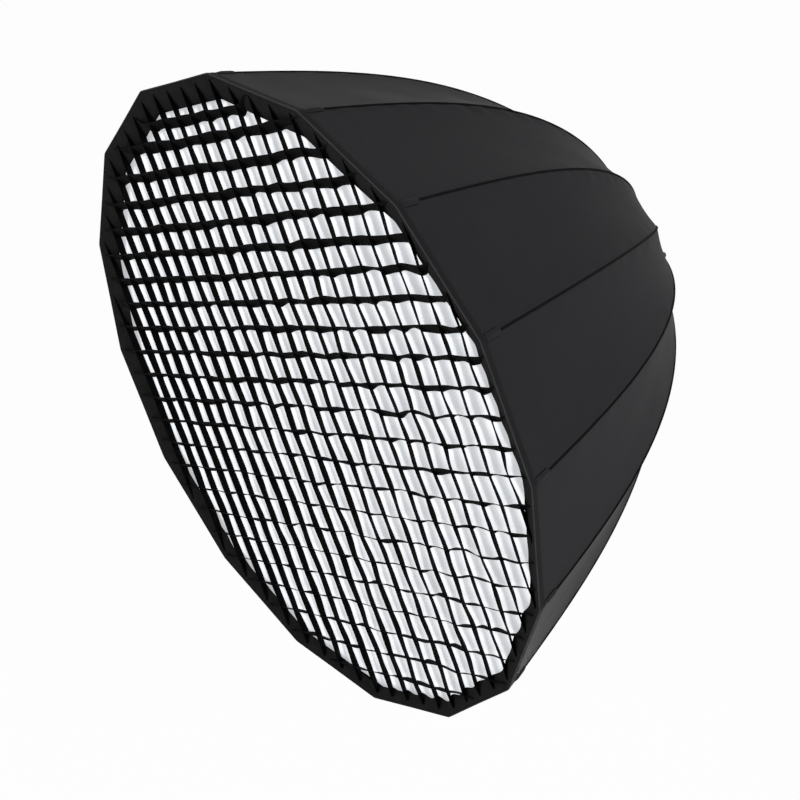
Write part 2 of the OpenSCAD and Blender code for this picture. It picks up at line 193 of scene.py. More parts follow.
@dataclass(frozen=True)
class Finish:
    """What every finish has: two tones, and marks that give a relief."""

    name: str
    colour: str
    shade: str
    mark_mm: float
    roughness: float

    @property
    def mark(self) -> float:
        """Size of a mark."""
        return self.mark_mm * MM

    def tone(self, tree: Tree, share: Socket, *sockets: str) -> None:
        """Mixes the two tones by a share, and links the colour to these shader inputs."""
        mix = add_node(tree, "ShaderNodeMix", {
            "Factor": share, "A": linear(self.shade), "B": linear(self.colour),
        }, data_type="RGBA")
        for socket in sockets:
            tree.links.new(mix.outputs["Result"], tree.nodes["Principled BSDF"].inputs[socket])

    def touch(self, tree: Tree, source: Socket, span: tuple[float, float],
              change: tuple[float, float], bump: dict[str, float | Socket]) -> None:
        """Links the roughness and the relief to the shader.

        Args:
            tree: the material's node tree.
            source: what the roughness follows.
            span: lowest and highest value of the source.
            change: what each of them adds to the roughness.
            bump: strength, distance and height of the relief.
        """
        shader = tree.nodes["Principled BSDF"]
        rough = add_node(tree, "ShaderNodeMapRange", {
            "Value": source, "From Min": span[0], "From Max": span[1],
            "To Min": self.roughness + change[0], "To Max": self.roughness + change[1]})
        tree.links.new(rough.outputs["Result"], shader.inputs["Roughness"])
        tree.links.new(add_node(tree, "ShaderNodeBump", bump).outputs["Normal"],
                       shader.inputs["Normal"])


@dataclass(frozen=True)
class ClothFinish(Finish):
    """A woven or knitted finish, with its threads on the cloth's own map."""

    weave: Weave = Weave.PLAIN
    relief: float = 0.25
    mottle_mm: float = 140.0
    stretch: float = 1.0
    metallic: float = 0.0
    specular: float = 0.5
    # Strength of a painted glow: emission that stands in for light falling on and through the
    # cloth.
    glow: float = 0.0

    def make(self) -> Material:
        """Builds the material: threads give colour and relief, a slow mottle varies both.

        Returns:
            The material.
        """
        material = start_material(self.name, {
            "Metallic": self.metallic, "Specular IOR Level": self.specular,
            "Emission Strength": self.glow})
        tree = material.node_tree
        cloth = add_node(tree, "ShaderNodeUVMap", uv_map=CLOTH_MAP).outputs["UV"]
        body = add_node(tree, "ShaderNodeTexCoord").outputs["Object"]

        def threads(way: str) -> Socket:
            """Waves across the threads that run one way."""
            return add_node(tree, "ShaderNodeTexWave", {
                "Vector": cloth, "Scale": WAVE_TURN / self.mark,
            }, bands_direction=way).outputs["Fac"]

        if self.weave is Weave.PLAIN:
            thread = calc(tree, "MULTIPLY", threads("X"), threads("Y"))
        elif self.weave is Weave.RIB:
            thread = threads("Y")
        else:
            thread = noise(tree, body, self.mark, Detail=2.0)
        # A stretch draws the mottle out along Z into streaks; on the white sheet they are painted
        # shade.
        drawn = add_node(tree, "ShaderNodeMapping", {
            "Vector": body, "Scale": (1, 1, 1 / self.stretch)}).outputs["Vector"]
        mottle = noise(tree, drawn, self.mottle_mm * MM, Detail=4.0, Roughness=0.6)
        blend = calc(tree, "MULTIPLY_ADD", thread, 0.35, mottle)
        share = add_node(tree, "ShaderNodeMapRange", {
            "Value": blend, "From Min": 0.25, "From Max": 0.95}).outputs["Result"]
        # The tones also colour the emission, which only a finish with a glow turns on: painted
        # light.
        self.tone(tree, share, "Base Color", "Emission Color")
        self.touch(tree, mottle, (0.3, 0.7), (-0.05, 0.05), {
            "Strength": self.relief, "Distance": self.mark * 0.3, "Height": thread})
        return material


@dataclass(frozen=True)
class HardFinish(Finish):
    """A metal or plastic finish, with the marks of its making."""

    tooling: Tooling
    metallic: float = 0.0
    relief: float = 0.15
    cloud_mm: float = 30.0

    def make(self) -> Material:
        """Builds the material: the marks drive colour, roughness and relief.

        Returns:
            The material.
        """
        material = start_material(self.name, {"Metallic": self.metallic})
        tree = material.node_tree
        body = add_node(tree, "ShaderNodeTexCoord").outputs["Object"]
        if self.tooling is Tooling.TURNED:
            marks = add_node(tree, "ShaderNodeTexWave", {
                "Vector": body, "Scale": WAVE_TURN / self.mark,
                "Distortion": 0.6, "Detail": 2.0, "Detail Scale": 3.0,
            }, wave_type="RINGS", rings_direction="Y").outputs["Fac"]
        elif self.tooling is Tooling.DRAWN:
            marks = noise(tree, body, self.mark, Detail=3.0, Distortion=1.5)
        else:
            marks = add_node(tree, "ShaderNodeTexVoronoi", {
                "Vector": body, "Scale": 1 / self.mark}).outputs["Distance"]
        cloud = noise(tree, body, self.cloud_mm * MM, Detail=5.0)
        share = calc(tree, "MULTIPLY_ADD", marks, 0.4, cloud)
        self.tone(tree, share, "Base Color")
        self.touch(tree, share, (0.2, 1.0), (0.08, -0.04), {
            "Strength": self.relief, "Distance": self.mark * 0.2, "Height": marks})
        return material


class Wardrobe:
    """All finishes of the softbox, made once."""

    # Calendered nylon taffeta: a smooth, faintly silky black. The threads, 0.2 mm in truth,
    # are drawn coarser so that a close view shows a weave.
    nylon = ClothFinish("calendered_nylon_taffeta", "#2c2c2e", "#242426", 1.6, 0.6,
                        relief=0.12, specular=0.03)
    # Aluminium-coated backing of the same nylon: soft silver that throws the light forward.
    lining = ClothFinish("aluminised_nylon", "#c9ccd0", "#aeb2b7", 1.6, 0.42,
                         metallic=0.75, relief=0.2)
    # Polyester grosgrain: dull black with ribs across the tape.
    tape = ClothFinish("polyester_grosgrain_tape", "#232325", "#1b1b1c", 1.5, 0.8, Weave.RIB,
                       relief=0.4, mottle_mm=40.0, specular=0.05)
    # The same tape, paler, round the nose of the binding: a painted highlight, the thin pale line
    # round the mouth where the folded edge would catch the light.
    painted_highlight_tape = ClothFinish("grosgrain_edge_painted_highlight", "#434344", "#303031", 1.5, 0.8, Weave.RIB,
                            relief=0.4, mottle_mm=25.0, specular=0.03)
    # Narrow twill piping over the seams: the darkest line on the canopy. Its dark colour is
    # partly the piping's own and partly painted shade, the shadow line along each seam.
    piping_with_painted_shade = ClothFinish("cotton_twill_piping_with_painted_shade", "#0c0c0d", "#060607", 1.2, 0.85, Weave.RIB,
                         relief=0.4, mottle_mm=30.0, specular=0.06)
    # Nylon hook and loop: a deep matt black pile.
    pile = ClothFinish("nylon_loop_pile", "#111112", "#070708", 1.4, 0.95, Weave.PILE,
                       relief=0.8, mottle_mm=30.0, specular=0.05)
    # Spun polyester thread: black, with a faint gleam on each stitch.
    thread = ClothFinish("spun_polyester_thread", "#222224", "#161618", 0.5, 0.6, Weave.RIB,
                         relief=0.3, mottle_mm=20.0, specular=0.25)
    # White polyester taffeta: bright, flat and soft. Its glow is painted light, an emission that
    # stands in for light falling on the sheet and shining through it from behind. Its mottle,
    # stretched along Z, paints faint grey streaks up and down the sheet: painted shade, like the
    # soft shadows of the grid's columns.
    diffuser = ClothFinish("white_polyester_taffeta", "#f4f5f7", "#dfe3e8", 1.4, 0.85,
                           relief=0.12, mottle_mm=16.0, stretch=8.0, specular=0.25,
                           glow=0.6)
    # Black polyester canvas of the grid: nearly no shine, so that it swallows stray light.
    canvas = ClothFinish("black_polyester_canvas", "#0a0a0a", "#050505", 1.2, 0.9,
                         relief=0.35, mottle_mm=35.0, specular=0.05)
    # Brushed canvas of the grid's border: black too, but with a dusty nap.
    nap = ClothFinish("brushed_polyester_canvas", "#222222", "#111111", 2.5, 0.95, Weave.PILE,
                      relief=0.6, mottle_mm=18.0, specular=0.04)
    # Braided elastic: black with rubber ribs.
    elastic = ClothFinish("braided_elastic", "#19191a", "#0e0e0f", 1.1, 0.82, Weave.RIB,
                          relief=0.5, mottle_mm=25.0)
    # Turned aluminium: pale grey with fine rings from the lathe.
    aluminium = HardFinish("turned_aluminium", "#c4c6c9", "#a3a6aa", 0.7, 0.3,
                           Tooling.TURNED, metallic=1.0)
    # Black anodised aluminium: dark satin over the same rings.
    anodised = HardFinish("black_anodised_aluminium", "#26262a", "#1a1a1d", 0.8, 0.42,
                          Tooling.TURNED, metallic=0.6)
    # Zinc-plated steel of pins and screws: bright with a drawn grain.
    steel = HardFinish("zinc_plated_steel", "#d2d4d6", "#aeb1b4", 1.0, 0.24,
                       Tooling.DRAWN, metallic=1.0)
    # Drawn spring steel of the rods: grey with a slight blue.
    spring = HardFinish("drawn_spring_steel", "#9a9da2", "#7d8085", 1.5, 0.34,
                        Tooling.DRAWN, metallic=1.0)
    # Glass-filled nylon of the knuckles: charcoal with a dry moulded grain.
    filled_nylon = HardFinish("glass_filled_nylon", "#2c2c2e", "#1f1f21", 0.5, 0.55,
                              Tooling.MOULDED)
    # ABS of the knob: black with a fine spark-eroded grain.
    abs_plastic = HardFinish("moulded_abs", "#1e1e20", "#151517", 0.4, 0.45, Tooling.MOULDED)
    # Soft PVC of the rod caps: black and waxy.
    pvc = HardFinish("dipped_pvc", "#1a1a1b", "#111112", 2.0, 0.5, Tooling.MOULDED)

    def __init__(self) -> None:
        """Starts with no material made."""
        self._made: dict[str, Material] = {}

    def get(self, *finishes: ClothFinish | HardFinish) -> list[Material]:
        """Returns the materials of some finishes, each built at its first use."""
        for finish in finishes:
            if finish.name not in self._made:
                self._made[finish.name] = finish.make()
        return [self._made[finish.name] for finish in finishes]


class Patchwork:
    """Collects closed shells and tubes as whole arrays, and makes one mesh of them."""

    def __init__(self) -> None:
        """Starts with no part and no point."""
        self._parts: list[tuple[Array, ...]] = []
        self._count = 0

    def tube(self, rings: Array, finish: int | Array = 0, looped: bool = False,
             chart: Array | None = None, flat: tuple[int, ...] = (),
             cap: int | None = None) -> None:
        """Adds a tube through rings of points, closed at both ends or onto itself.

        An even number of points in a ring lets plain quads, folded about its middle, close
        an end. The sign of the volume, the sum of every face's cone to the first point, says
        which way the faces look, and they are turned outwards.

        Args:
            rings: rings by points by three.
            finish: the finish, or what spreads over bands between rings by points.
            looped: whether the last ring joins the first.
            chart: cloth coordinates, or none to take them from X and Z.
            flat: numbers of the points in a ring whose faces are shaded flat.
            cap: the finish of the ends, or none for that of the bands there.
        """
        count, sides = rings.shape[:2]
        bands = count if looped else count - 1
        i, j = np.meshgrid(np.arange(bands), np.arange(sides), indexing="ij")
        k, n = (j + 1) % sides, (i + 1) % count
        quads = np.stack([i * sides + j, i * sides + k, n * sides + k, n * sides + j], axis=-1)
        quads = quads.reshape(-1, 4)
        finishes = np.broadcast_to(finish, (bands, sides)).ravel()
        smooth = np.ones((bands, sides), bool)
        smooth[:, list(flat)] = False
        smooth = smooth.ravel()
        if not looped:
            m = np.arange(sides // 2 - 1)
            end = np.stack([m, sides - 1 - m, sides - 2 - m, m + 1], axis=-1)
            quads = np.concatenate([quads, end, (count - 1) * sides + end[:, ::-1]])
            caps = finishes[[0, -1]] if cap is None else (cap, cap)
            finishes = np.concatenate([finishes, np.repeat(caps, len(m))])
            smooth = np.concatenate([smooth, np.zeros(2 * len(m), bool)])
        points = rings.reshape(-1, 3)
        chart = points[:, [0, 2]] if chart is None else chart.reshape(-1, 2)
        a, b, c, d = (points[quads[:, i]] - points[0] for i in range(4))
        volume = np.einsum("ij,ij->", a, np.cross(b, c)) + np.einsum("ij,ij->", a, np.cross(c, d))
        if volume < 0:
            quads = quads[:, ::-1]
        self._parts.append((points, chart, quads + self._count, finishes, smooth))
        self._count += len(points)

    def shell(self, outer: Array, inner: Array, chart: Array | None = None,
              outside: int | Array = 0, inside: int = 0, edge: int = 0) -> None:
        """Adds a sheet with two faces and a narrow edge all round.

        Each row of points runs along the outer face and back along the inner one, so that
        rows make the rings of a tube.

        Args:
            outer: rows by columns of points on the outer face.
            inner: the same on the inner face.
            chart: cloth coordinates for both, or none to take them from X and Z.
            outside: the finish of the outer face, or one per column, or rows by columns.
            inside: the finish of the inner face.
            edge: the finish of the edge.
        """
        rows, columns = outer.shape[:2]
        sharp = (columns - 1, 2 * columns - 1)
        finish = np.full((rows - 1, 2 * columns), inside)
        finish[:, :columns - 1] = outside
        finish[:, sharp] = edge
        if chart is not None:
            chart = np.concatenate([chart, chart[:, ::-1]], axis=1)
        self.tube(np.concatenate([outer, inner[:, ::-1]], axis=1), finish, chart=chart, flat=sharp,
                  cap=edge)

    def stitches(self, points: Array, along: Array, up: Array, finish: int,
                 length: float, width: float = 0.45 * MM) -> None:
        """Adds a row of small spindles of thread.

        Four stations along a stitch carry a four-sided ring each, thick in the middle and
        thin where the thread dives into the cloth.

        Args:
            points: the middle of each stitch.
            along: the direction of each stitch.
            up: the direction away from the cloth.
            finish: the finish number of the thread.
            length: length of a stitch.
            width: half of the thread's width.
        """
        along = along / np.linalg.norm(along, axis=-1, keepdims=True)
        across = np.cross(along, up)
        across /= np.linalg.norm(across, axis=-1, keepdims=True)
        up = np.cross(across, along)
        reach = np.array([-0.5, -0.25, 0.25, 0.5])[None, :, None, None] * length
        thick = np.array([0.25, 1, 1, 0.25])[None, :, None, None] * width
        turn = np.arange(4) * math.pi / 2
        ring = (np.cos(turn)[None, None, :, None] * across[:, None, None]
                + np.sin(turn)[None, None, :, None] * up[:, None, None])
        rings = points[:, None, None] + reach * along[:, None, None] + thick * ring
        for one in rings:
            self.tube(one, finish)

    def build(self, name: str, *materials: Material) -> Object:
        """Makes the mesh object.

        Args:
            name: the piece's name.
            materials: its materials, by finish number.

        Returns:
            The object, at the origin.
        """
        points, chart, quads, finish, smooth = map(np.concatenate, zip(*self._parts))
        mesh = bpy.data.meshes.new(name)
        mesh.vertices.add(len(points))
        mesh.vertices.foreach_set("co", points.astype(np.float32).ravel())
        mesh.loops.add(quads.size)
        mesh.loops.foreach_set("vertex_index", quads.astype(np.int32).ravel())
        mesh.polygons.add(len(quads))
        mesh.polygons.foreach_set("loop_start", np.arange(0, quads.size, 4, dtype=np.int32))
        mesh.polygons.foreach_set("material_index", finish.astype(np.int32))
        mesh.polygons.foreach_set("use_smooth", smooth)
        cloth = mesh.uv_layers.new(name=CLOTH_MAP)
        cloth.data.foreach_set("uv", chart[quads.ravel()].astype(np.float32).ravel())
        for material in materials:
            mesh.materials.append(material)
        mesh.update(calc_edges=True)
        return show(name, mesh)


def settle(obj: Object, body: str, slot: str, *nodes: str) -> None:
    """Puts a piece on its body, and hides the nodes that it replaces.

    Args:
        obj: the piece.
        body: the body that it moves with.
        slot: the record's material slot; not used.
        nodes: the nodes that it replaces.
    """
    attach(obj, body)
    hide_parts(*nodes)
    LOG.info("%s: %d faces on %s", obj.name, len(obj.data.polygons), body)


@dataclass(frozen=True)
class RodLine:
    """The line of a spring rod from the mouth to its pivot, in the plane of its corner.

    Its slope against the axis grows with the square of the distance from the mouth, as on a
    wand that is pulled at its tip, and stays the same inside the socket.
    """

    mouth_r: float = 0.600
    depth: float = 0.795
    pivot_r: float = 0.080
    pivot_y: float = -0.0152
    socket: float = 0.052
    bend: float = math.radians(43)
    skin: float = 7.15 * MM
    fold: float = math.radians(33)
    steps: int = 3000

    @cached_property
    def _table(self) -> tuple[float, float, float, Array, Array]:
        """Adds up the rod's course, and turns it so that its two ends fit.

        The bent length is the root of the quadratic that makes rod and socket span the chord
        from the mouth to the pivot.

        Returns:
            Bent length, slope and radius at the mouth, stops, and the way covered at each
            stop, along the axis and inwards.
        """
        share = np.linspace(0, 1, self.steps + 1)
        course = np.stack([np.cos(self.bend * share ** 2), np.sin(self.bend * share ** 2)], -1)
        way = np.zeros_like(course)
        way[1:] = np.cumsum((course[1:] + course[:-1]) / 2, axis=0) / self.steps
        root = self.socket * course[-1]

        def reach(radius: float) -> tuple[float, float]:
            """Fits the rod to a mouth.

            Args:
                radius: radius of the rod's tip.

            Returns:
                Bent length, and slope at the mouth.
            """
            ab, aa = way[-1] @ root, way[-1] @ way[-1]
            chord = self.depth ** 2 + (radius - self.pivot_r) ** 2
            length = (-ab + math.sqrt(ab * ab - aa * (root @ root - chord))) / aa
            run = length * way[-1] + root
            return length, (math.atan2(radius - self.pivot_r, self.depth)
                            - math.atan2(run[1], run[0]))

        tip = self.mouth_r - self.skin * math.cos(reach(self.mouth_r - self.skin)[1])
        length, slope = reach(tip)
        turn = np.array([[math.cos(slope), math.sin(slope)],
                         [-math.sin(slope), math.cos(slope)]])
        return length, slope, tip, share * length, length * way @ turn

    @property
    def length(self) -> float:
        """Bent length from the mouth to the socket's mouth."""
        return self._table[0]

    @property
    def mouth_y(self) -> float:
        """Place of the mouth on the axis."""
        return self.pivot_y - self.depth

    def slope(self, s: Array) -> Array:
        """Slope against the axis at the distance s from the mouth."""
        return self._table[1] + self.bend * (np.clip(s, 0, self.length) / self.length) ** 2

    def at(self, s: Array, off: Array | float = 0.0) -> tuple[Array, Array]:
        """Place and radius of a layer that lies off outside the line.

        Args:
            s: distances from the mouth along the line.
            off: distance outwards from the line.

        Returns:
            Places on the axis, and radii.
        """
        length, _, tip, stops, way = self._table
        s = np.asarray(s, float)
        slope = self.slope(s)
        rest = s - np.clip(s, 0, length)
        y = self.mouth_y + np.interp(s, stops, way[:, 0]) + rest * np.cos(slope)
        r = tip - np.interp(s, stops, way[:, 1]) - rest * np.sin(slope)
        return y + off * np.sin(slope), r + off * np.cos(slope)

    def depth_at(self, depth: float) -> float:
        """Distance along the line of the point at this depth behind the mouth."""
        stops = self._table[3]
        return float(np.interp(depth, self.at(stops)[0] - self.mouth_y, stops))

    def folded(self, s: Array, off: float) -> Array:
        """Width at the end of the fold as a share of the width at rest.

        The fold turns a rod inwards about its pivot. The share is that of the middle of a
        panel, which lies nearer to the axis than its rod, so that neighbours just meet there.

        Args:
            s: distances from the mouth.
            off: distance outwards from the line.

        Returns:
            The shares.
        """
        y, r = self.at(s, off)
        middle = r * COS_H ** 2
        turned = (self.pivot_r + (middle - self.pivot_r) * math.cos(self.fold)
                  - (self.pivot_y - y) * math.sin(self.fold))
        return turned / middle


def rounded(t: Array, half: Array) -> Array:
    """Rounded |t|: sqrt(t^2 + crease^2) - crease, stretched to reach half at the ends."""
    return ((np.sqrt(t ** 2 + CREASE ** 2) - CREASE) * half
            / (np.sqrt(half ** 2 + CREASE ** 2) - CREASE))


@dataclass
class CornerPiece:
    """What is made anew at each corner."""

    line: RodLine
    wardrobe: Wardrobe
    corner: int

    @property
    def angle(self) -> float:
        """Direction of the corner, from the top towards +X."""
        return self.corner * STEP

    @property
    def tag(self) -> str:
        """Number of the corner in names, from 01."""
        return f"{self.corner + 1:02d}"

    @property
    def body(self) -> str:
        """Name of the corner's rod, for its body and its node."""
        return f"rod_{self.tag}"

    def place(self, u: Array, v: Array, y: Array) -> Array:
        """Turns points from the plane of the corner into the frame.

        The radius u runs along the corner's direction (sin a, cos a) in X and Z, and the side
        v along (cos a, -sin a).

        Args:
            u: radii.
            v: distances to the side.
            y: places on the axis.

        Returns:
            The points, with X, Y and Z in the last axis.
        """
        sin, cos = math.sin(self.angle), math.cos(self.angle)
        return stack(u * sin + v * cos, y, u * cos - v * sin)

    def on_sides(self, r: Array, t: Array, half: Array, y: Array) -> Array:
        """Points at distances t from the corner, along the two sides that meet there."""
        return self.place(r - rounded(t, half) * SIN_H, t * COS_H, y)

    def gather(self, obj: Object, keep: float) -> None:
        """Gives a piece its own copy of its mesh."""
        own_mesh(obj)

    def draw_in(self, obj: Object, y: float, lean: float = BUNCH_LEAN) -> None:
        """Gives a flat wedge at y its own copy of its mesh."""
        sin, cos = (f(self.angle) * math.cos(lean) for f in (math.sin, math.cos))
        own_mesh(obj)


@dataclass
class Canopy(CornerPiece):
    """Black canopy around a rod: a stretched skin, cut where it gathers in the fold."""

    thickness: float = 1.0 * MM
    ring_r: float = 0.095
    layer_gap: float = 0.3 * MM
    sag: float = 7 * MM
    slack: tuple[float, float] = (0.8, 1.2)
    ripple: float = 0.5 * MM
    ripple_count: int = 5
    ripple_turns: tuple[float, float] = (2.5, 9)
    ripple_lean: tuple[float, float] = (-0.9, 0.9)
    pipe_half: float = 2.2 * MM
    pipe_rise: float = 1.8 * MM
    pipe_start: tuple[float, float] = (36 * MM, 50 * MM)
    groove: float = 0.35 * MM
    groove_w: float = 0.7 * MM
    turn_half: float = 3 * MM
    flat_half: float = 6 * MM
    seam_columns: tuple[float, ...] = (0, 0.9, 1.5, 1.9, 2.2, 2.6, 3.2, 4.2, 6.0, 9.0)
    wide_columns: int = 13
    row_step: float = 11 * MM
    least_rows: int = 6
    hem: float = 0.4 * MM
    held: float = 24 * MM
    gathers: int = 6
    tuck: float = 0.03
    pucker: float = 1.6 * MM
    pucker_reach: float = 9 * MM
    pucker_turns: tuple[float, float] = (9, 24)
    waves: Array = field(init=False)
    puckers: Array = field(init=False)

    def __post_init__(self) -> None:
        """Draws the ripples of each panel: strength, count, lean, phase and sag.

        The puckers on each side of each seam have a strength, a count and a phase.
        """
        dice = np.random.default_rng(SEED)
        turn = (0, 2 * math.pi)
        shape, sides = ((count * CORNERS, self.ripple_count) for count in (1, 2))
        self.waves = np.stack([
            dice.normal(0, 1, shape), dice.uniform(*self.ripple_turns, shape),
            dice.uniform(*self.ripple_lean, shape), dice.uniform(*turn, shape),
            np.tile(dice.uniform(*self.slack, (CORNERS, 1)), (1, self.ripple_count))])
        self.puckers = np.stack([dice.normal(0, 1, sides), dice.uniform(*self.pucker_turns, sides),
                                 dice.uniform(*turn, sides)])

    @property
    def end(self) -> float:
        """Follows the straight root of the line to the speed ring.

        Returns:
            Distance from the mouth at which the skin meets the cuff.
        """
        end_r = (self.ring_r + self.layer_gap) / COS_H
        slope = float(self.line.slope(self.line.length))
        inner = self.line.skin - self.thickness
        run = (end_r - self.line.pivot_r - inner * math.cos(slope)) / math.sin(slope)
        return self.line.length + self.line.socket - run

    def cuts(self) -> Array:
        """Places the cuts so that the fold makes an even step at each.

        A step is the change in the share that the fold leaves, times the radius.

        Returns:
            Distances from the mouth, with both ends of the skin.
        """
        s = np.linspace(0, self.end, 800)
        r = self.line.at(s, self.line.skin)[1]
        step = np.diff(self.line.folded(s, self.line.skin)) * (r[1:] + r[:-1]) / 2
        steps = np.concatenate([[0], np.cumsum(step)])
        return np.interp(np.linspace(0, steps[-1], self.gathers + 1), steps, s)

    def relief(self, s: Array, t: Array, half: Array) -> Array:
        """Height of the skin over its flat panels.

        A panel sinks between its rods like a parabola, most at half length, with a few slow
        sine ripples on it that end at the seams. The piping is a low rounded ridge on the
        rod with a groove on each side, which rises from under the pocket at the rod's tip.
        Beside it the cloth puckers: short sine waves along the seam, strongest a few
        millimetres away from it, x exp((1 - x^2) / 2), and gone at the panel's middle.

        Args:
            s: distances from the mouth, one per row.
            t: signed distances from the seam, rows by columns.
            half: the widest distance of each row.

        Returns:
            Heights, rows by columns.
        """
        share = np.abs(t) / half[:, None]
        right = t >= 0
        panel = np.where(right, self.corner, self.corner - 1) % CORNERS
        x = np.where(right, share - 1, 1 - share)
        along = (s / self.end)[:, None]
        strength, count, lean, phase, slack = (w[panel] for w in self.waves)
        turns = count * along[..., None] / 2 + lean * x[..., None]
        wave = strength * np.sin(2 * math.pi * turns + phase)
        free = np.clip((s - self.held) / (self.end - 2 * self.held), 0, 1)
        middle = np.sin(math.pi * free)[:, None]
        height = self.ripple * wave.mean(-1) * (1 - x ** 2) * middle * 2
        height = height - self.sag * slack[..., 0] * (1 - x ** 2) * middle
        d = np.abs(t)
        ridge = self.pipe_rise * np.sqrt(np.clip(1 - (d / self.pipe_half) ** 2, 0, 1))
        dent = self.groove * np.exp(-((d - self.pipe_half) / self.groove_w) ** 2)
        near = d / self.pucker_reach
        strength, count, phase = (w[2 * self.corner + right] for w in self.puckers)
        pull = (strength * np.sin(2 * math.pi * count * along[..., None] + phase)).mean(-1)
        pull = pull * near * np.exp((1 - near ** 2) / 2) * (1 - share ** 2)
        pull = pull * ease(self.end - s, *self.pipe_start)[:, None]
        return height + (ridge - dent + self.pucker * pull) * ease(s, *self.pipe_start)[:, None]

    def gore(self, s: Array) -> tuple[Array, Array, Array]:
        """The skin around one rod, from the middle of one panel to the middle of the next.

        At each distance s a panel is the chord between two rods, so that the point t along it
        has the radius u = r - |t| sin(half a step) and the side v = t cos(half a step). The
        relief is added along the panel's normal.

        Args:
            s: distances from the mouth, one per row.

        Returns:
            Outer points, inner points and cloth coordinates, rows by columns.
        """
        y, r = self.line.at(s, self.line.skin)
        half = r * SIN_H
        near = np.broadcast_to(np.array(self.seam_columns) * MM,
                               (len(s), len(self.seam_columns)))
        far = near[:, -1:] + ((half[:, None] - self.hem - near[:, -1:])
                              * np.linspace(0, 1, self.wide_columns)[1:])
        far = np.hstack([far, half[:, None]])
        t = np.hstack([near, far])
        t = np.hstack([-t[:, :0:-1], t])
        slope = self.line.slope(s)[:, None]
        side = np.clip(t / self.turn_half, -1, 1)
        normal = stack(np.cos(slope) * np.cos(HALF * side), np.cos(slope) * np.sin(HALF * side),
                       np.sin(slope))
        flat = stack(r[:, None] - rounded(t, half[:, None]) * SIN_H, t * COS_H, y[:, None])
        relief = self.relief(s, t, half)
        beside = np.where(np.abs(t) < self.flat_half, self.flat_half * np.sign(t), t)
        smooth = self.relief(s, beside, half)
        outer = flat + relief[..., None] * normal
        inner = flat + (np.minimum(relief, smooth) - self.thickness)[..., None] * normal
        outer, inner = (self.place(*np.moveaxis(face, -1, 0)) for face in (outer, inner))
        return outer, inner, stack(t + self.corner * CHART_SHIFT, s[:, None])

    def build(self) -> None:
        materials = self.wardrobe.get(Wardrobe.nylon, Wardrobe.piping_with_painted_shade, Wardrobe.lining)
        cuts = self.cuts()
        columns = np.array(self.seam_columns)
        # The columns under the piping take its dark finish: partly painted shade along the seam.
        piping_painted_shade_columns = (columns[1:] + columns[:-1]) / 2 < self.pipe_half / MM
        half_row = np.concatenate([piping_painted_shade_columns, np.zeros(self.wide_columns, bool)])
        outside = np.concatenate([half_row[::-1], half_row]).astype(int)
        for number, (start, stop) in enumerate(zip(cuts[:-1], cuts[1:]), 1):
            rows = max(self.least_rows, int((stop - start) / self.row_step))
            s = hemmed(start, stop, rows - 2, self.hem)
            patch = Patchwork()
            patch.shell(*self.gore(s), outside, len(materials) - 1)
            obj = patch.build(f"canopy_{self.tag}_{number}", *materials)
            settle(obj, self.body, "canopy_nylon", "canopy")
            width = 2 * SIN_H * self.line.at(s, self.line.skin)[1]
            share = float(self.line.folded(stop, self.line.skin))
            self.gather(obj, min(share + self.tuck, 1.0))


class RimFinish(IntEnum):
    """Finish numbers of the rim."""

    TAPE = 0
    PILE = 1
    THREAD = 2
    NYLON = 3
    # The paler tape on the binding's nose: a painted highlight.
    PAINTED_HIGHLIGHT = 4
    # The dark piping, partly painted shade along seams and hems.
    PIPING_WITH_PAINTED_SHADE = 5


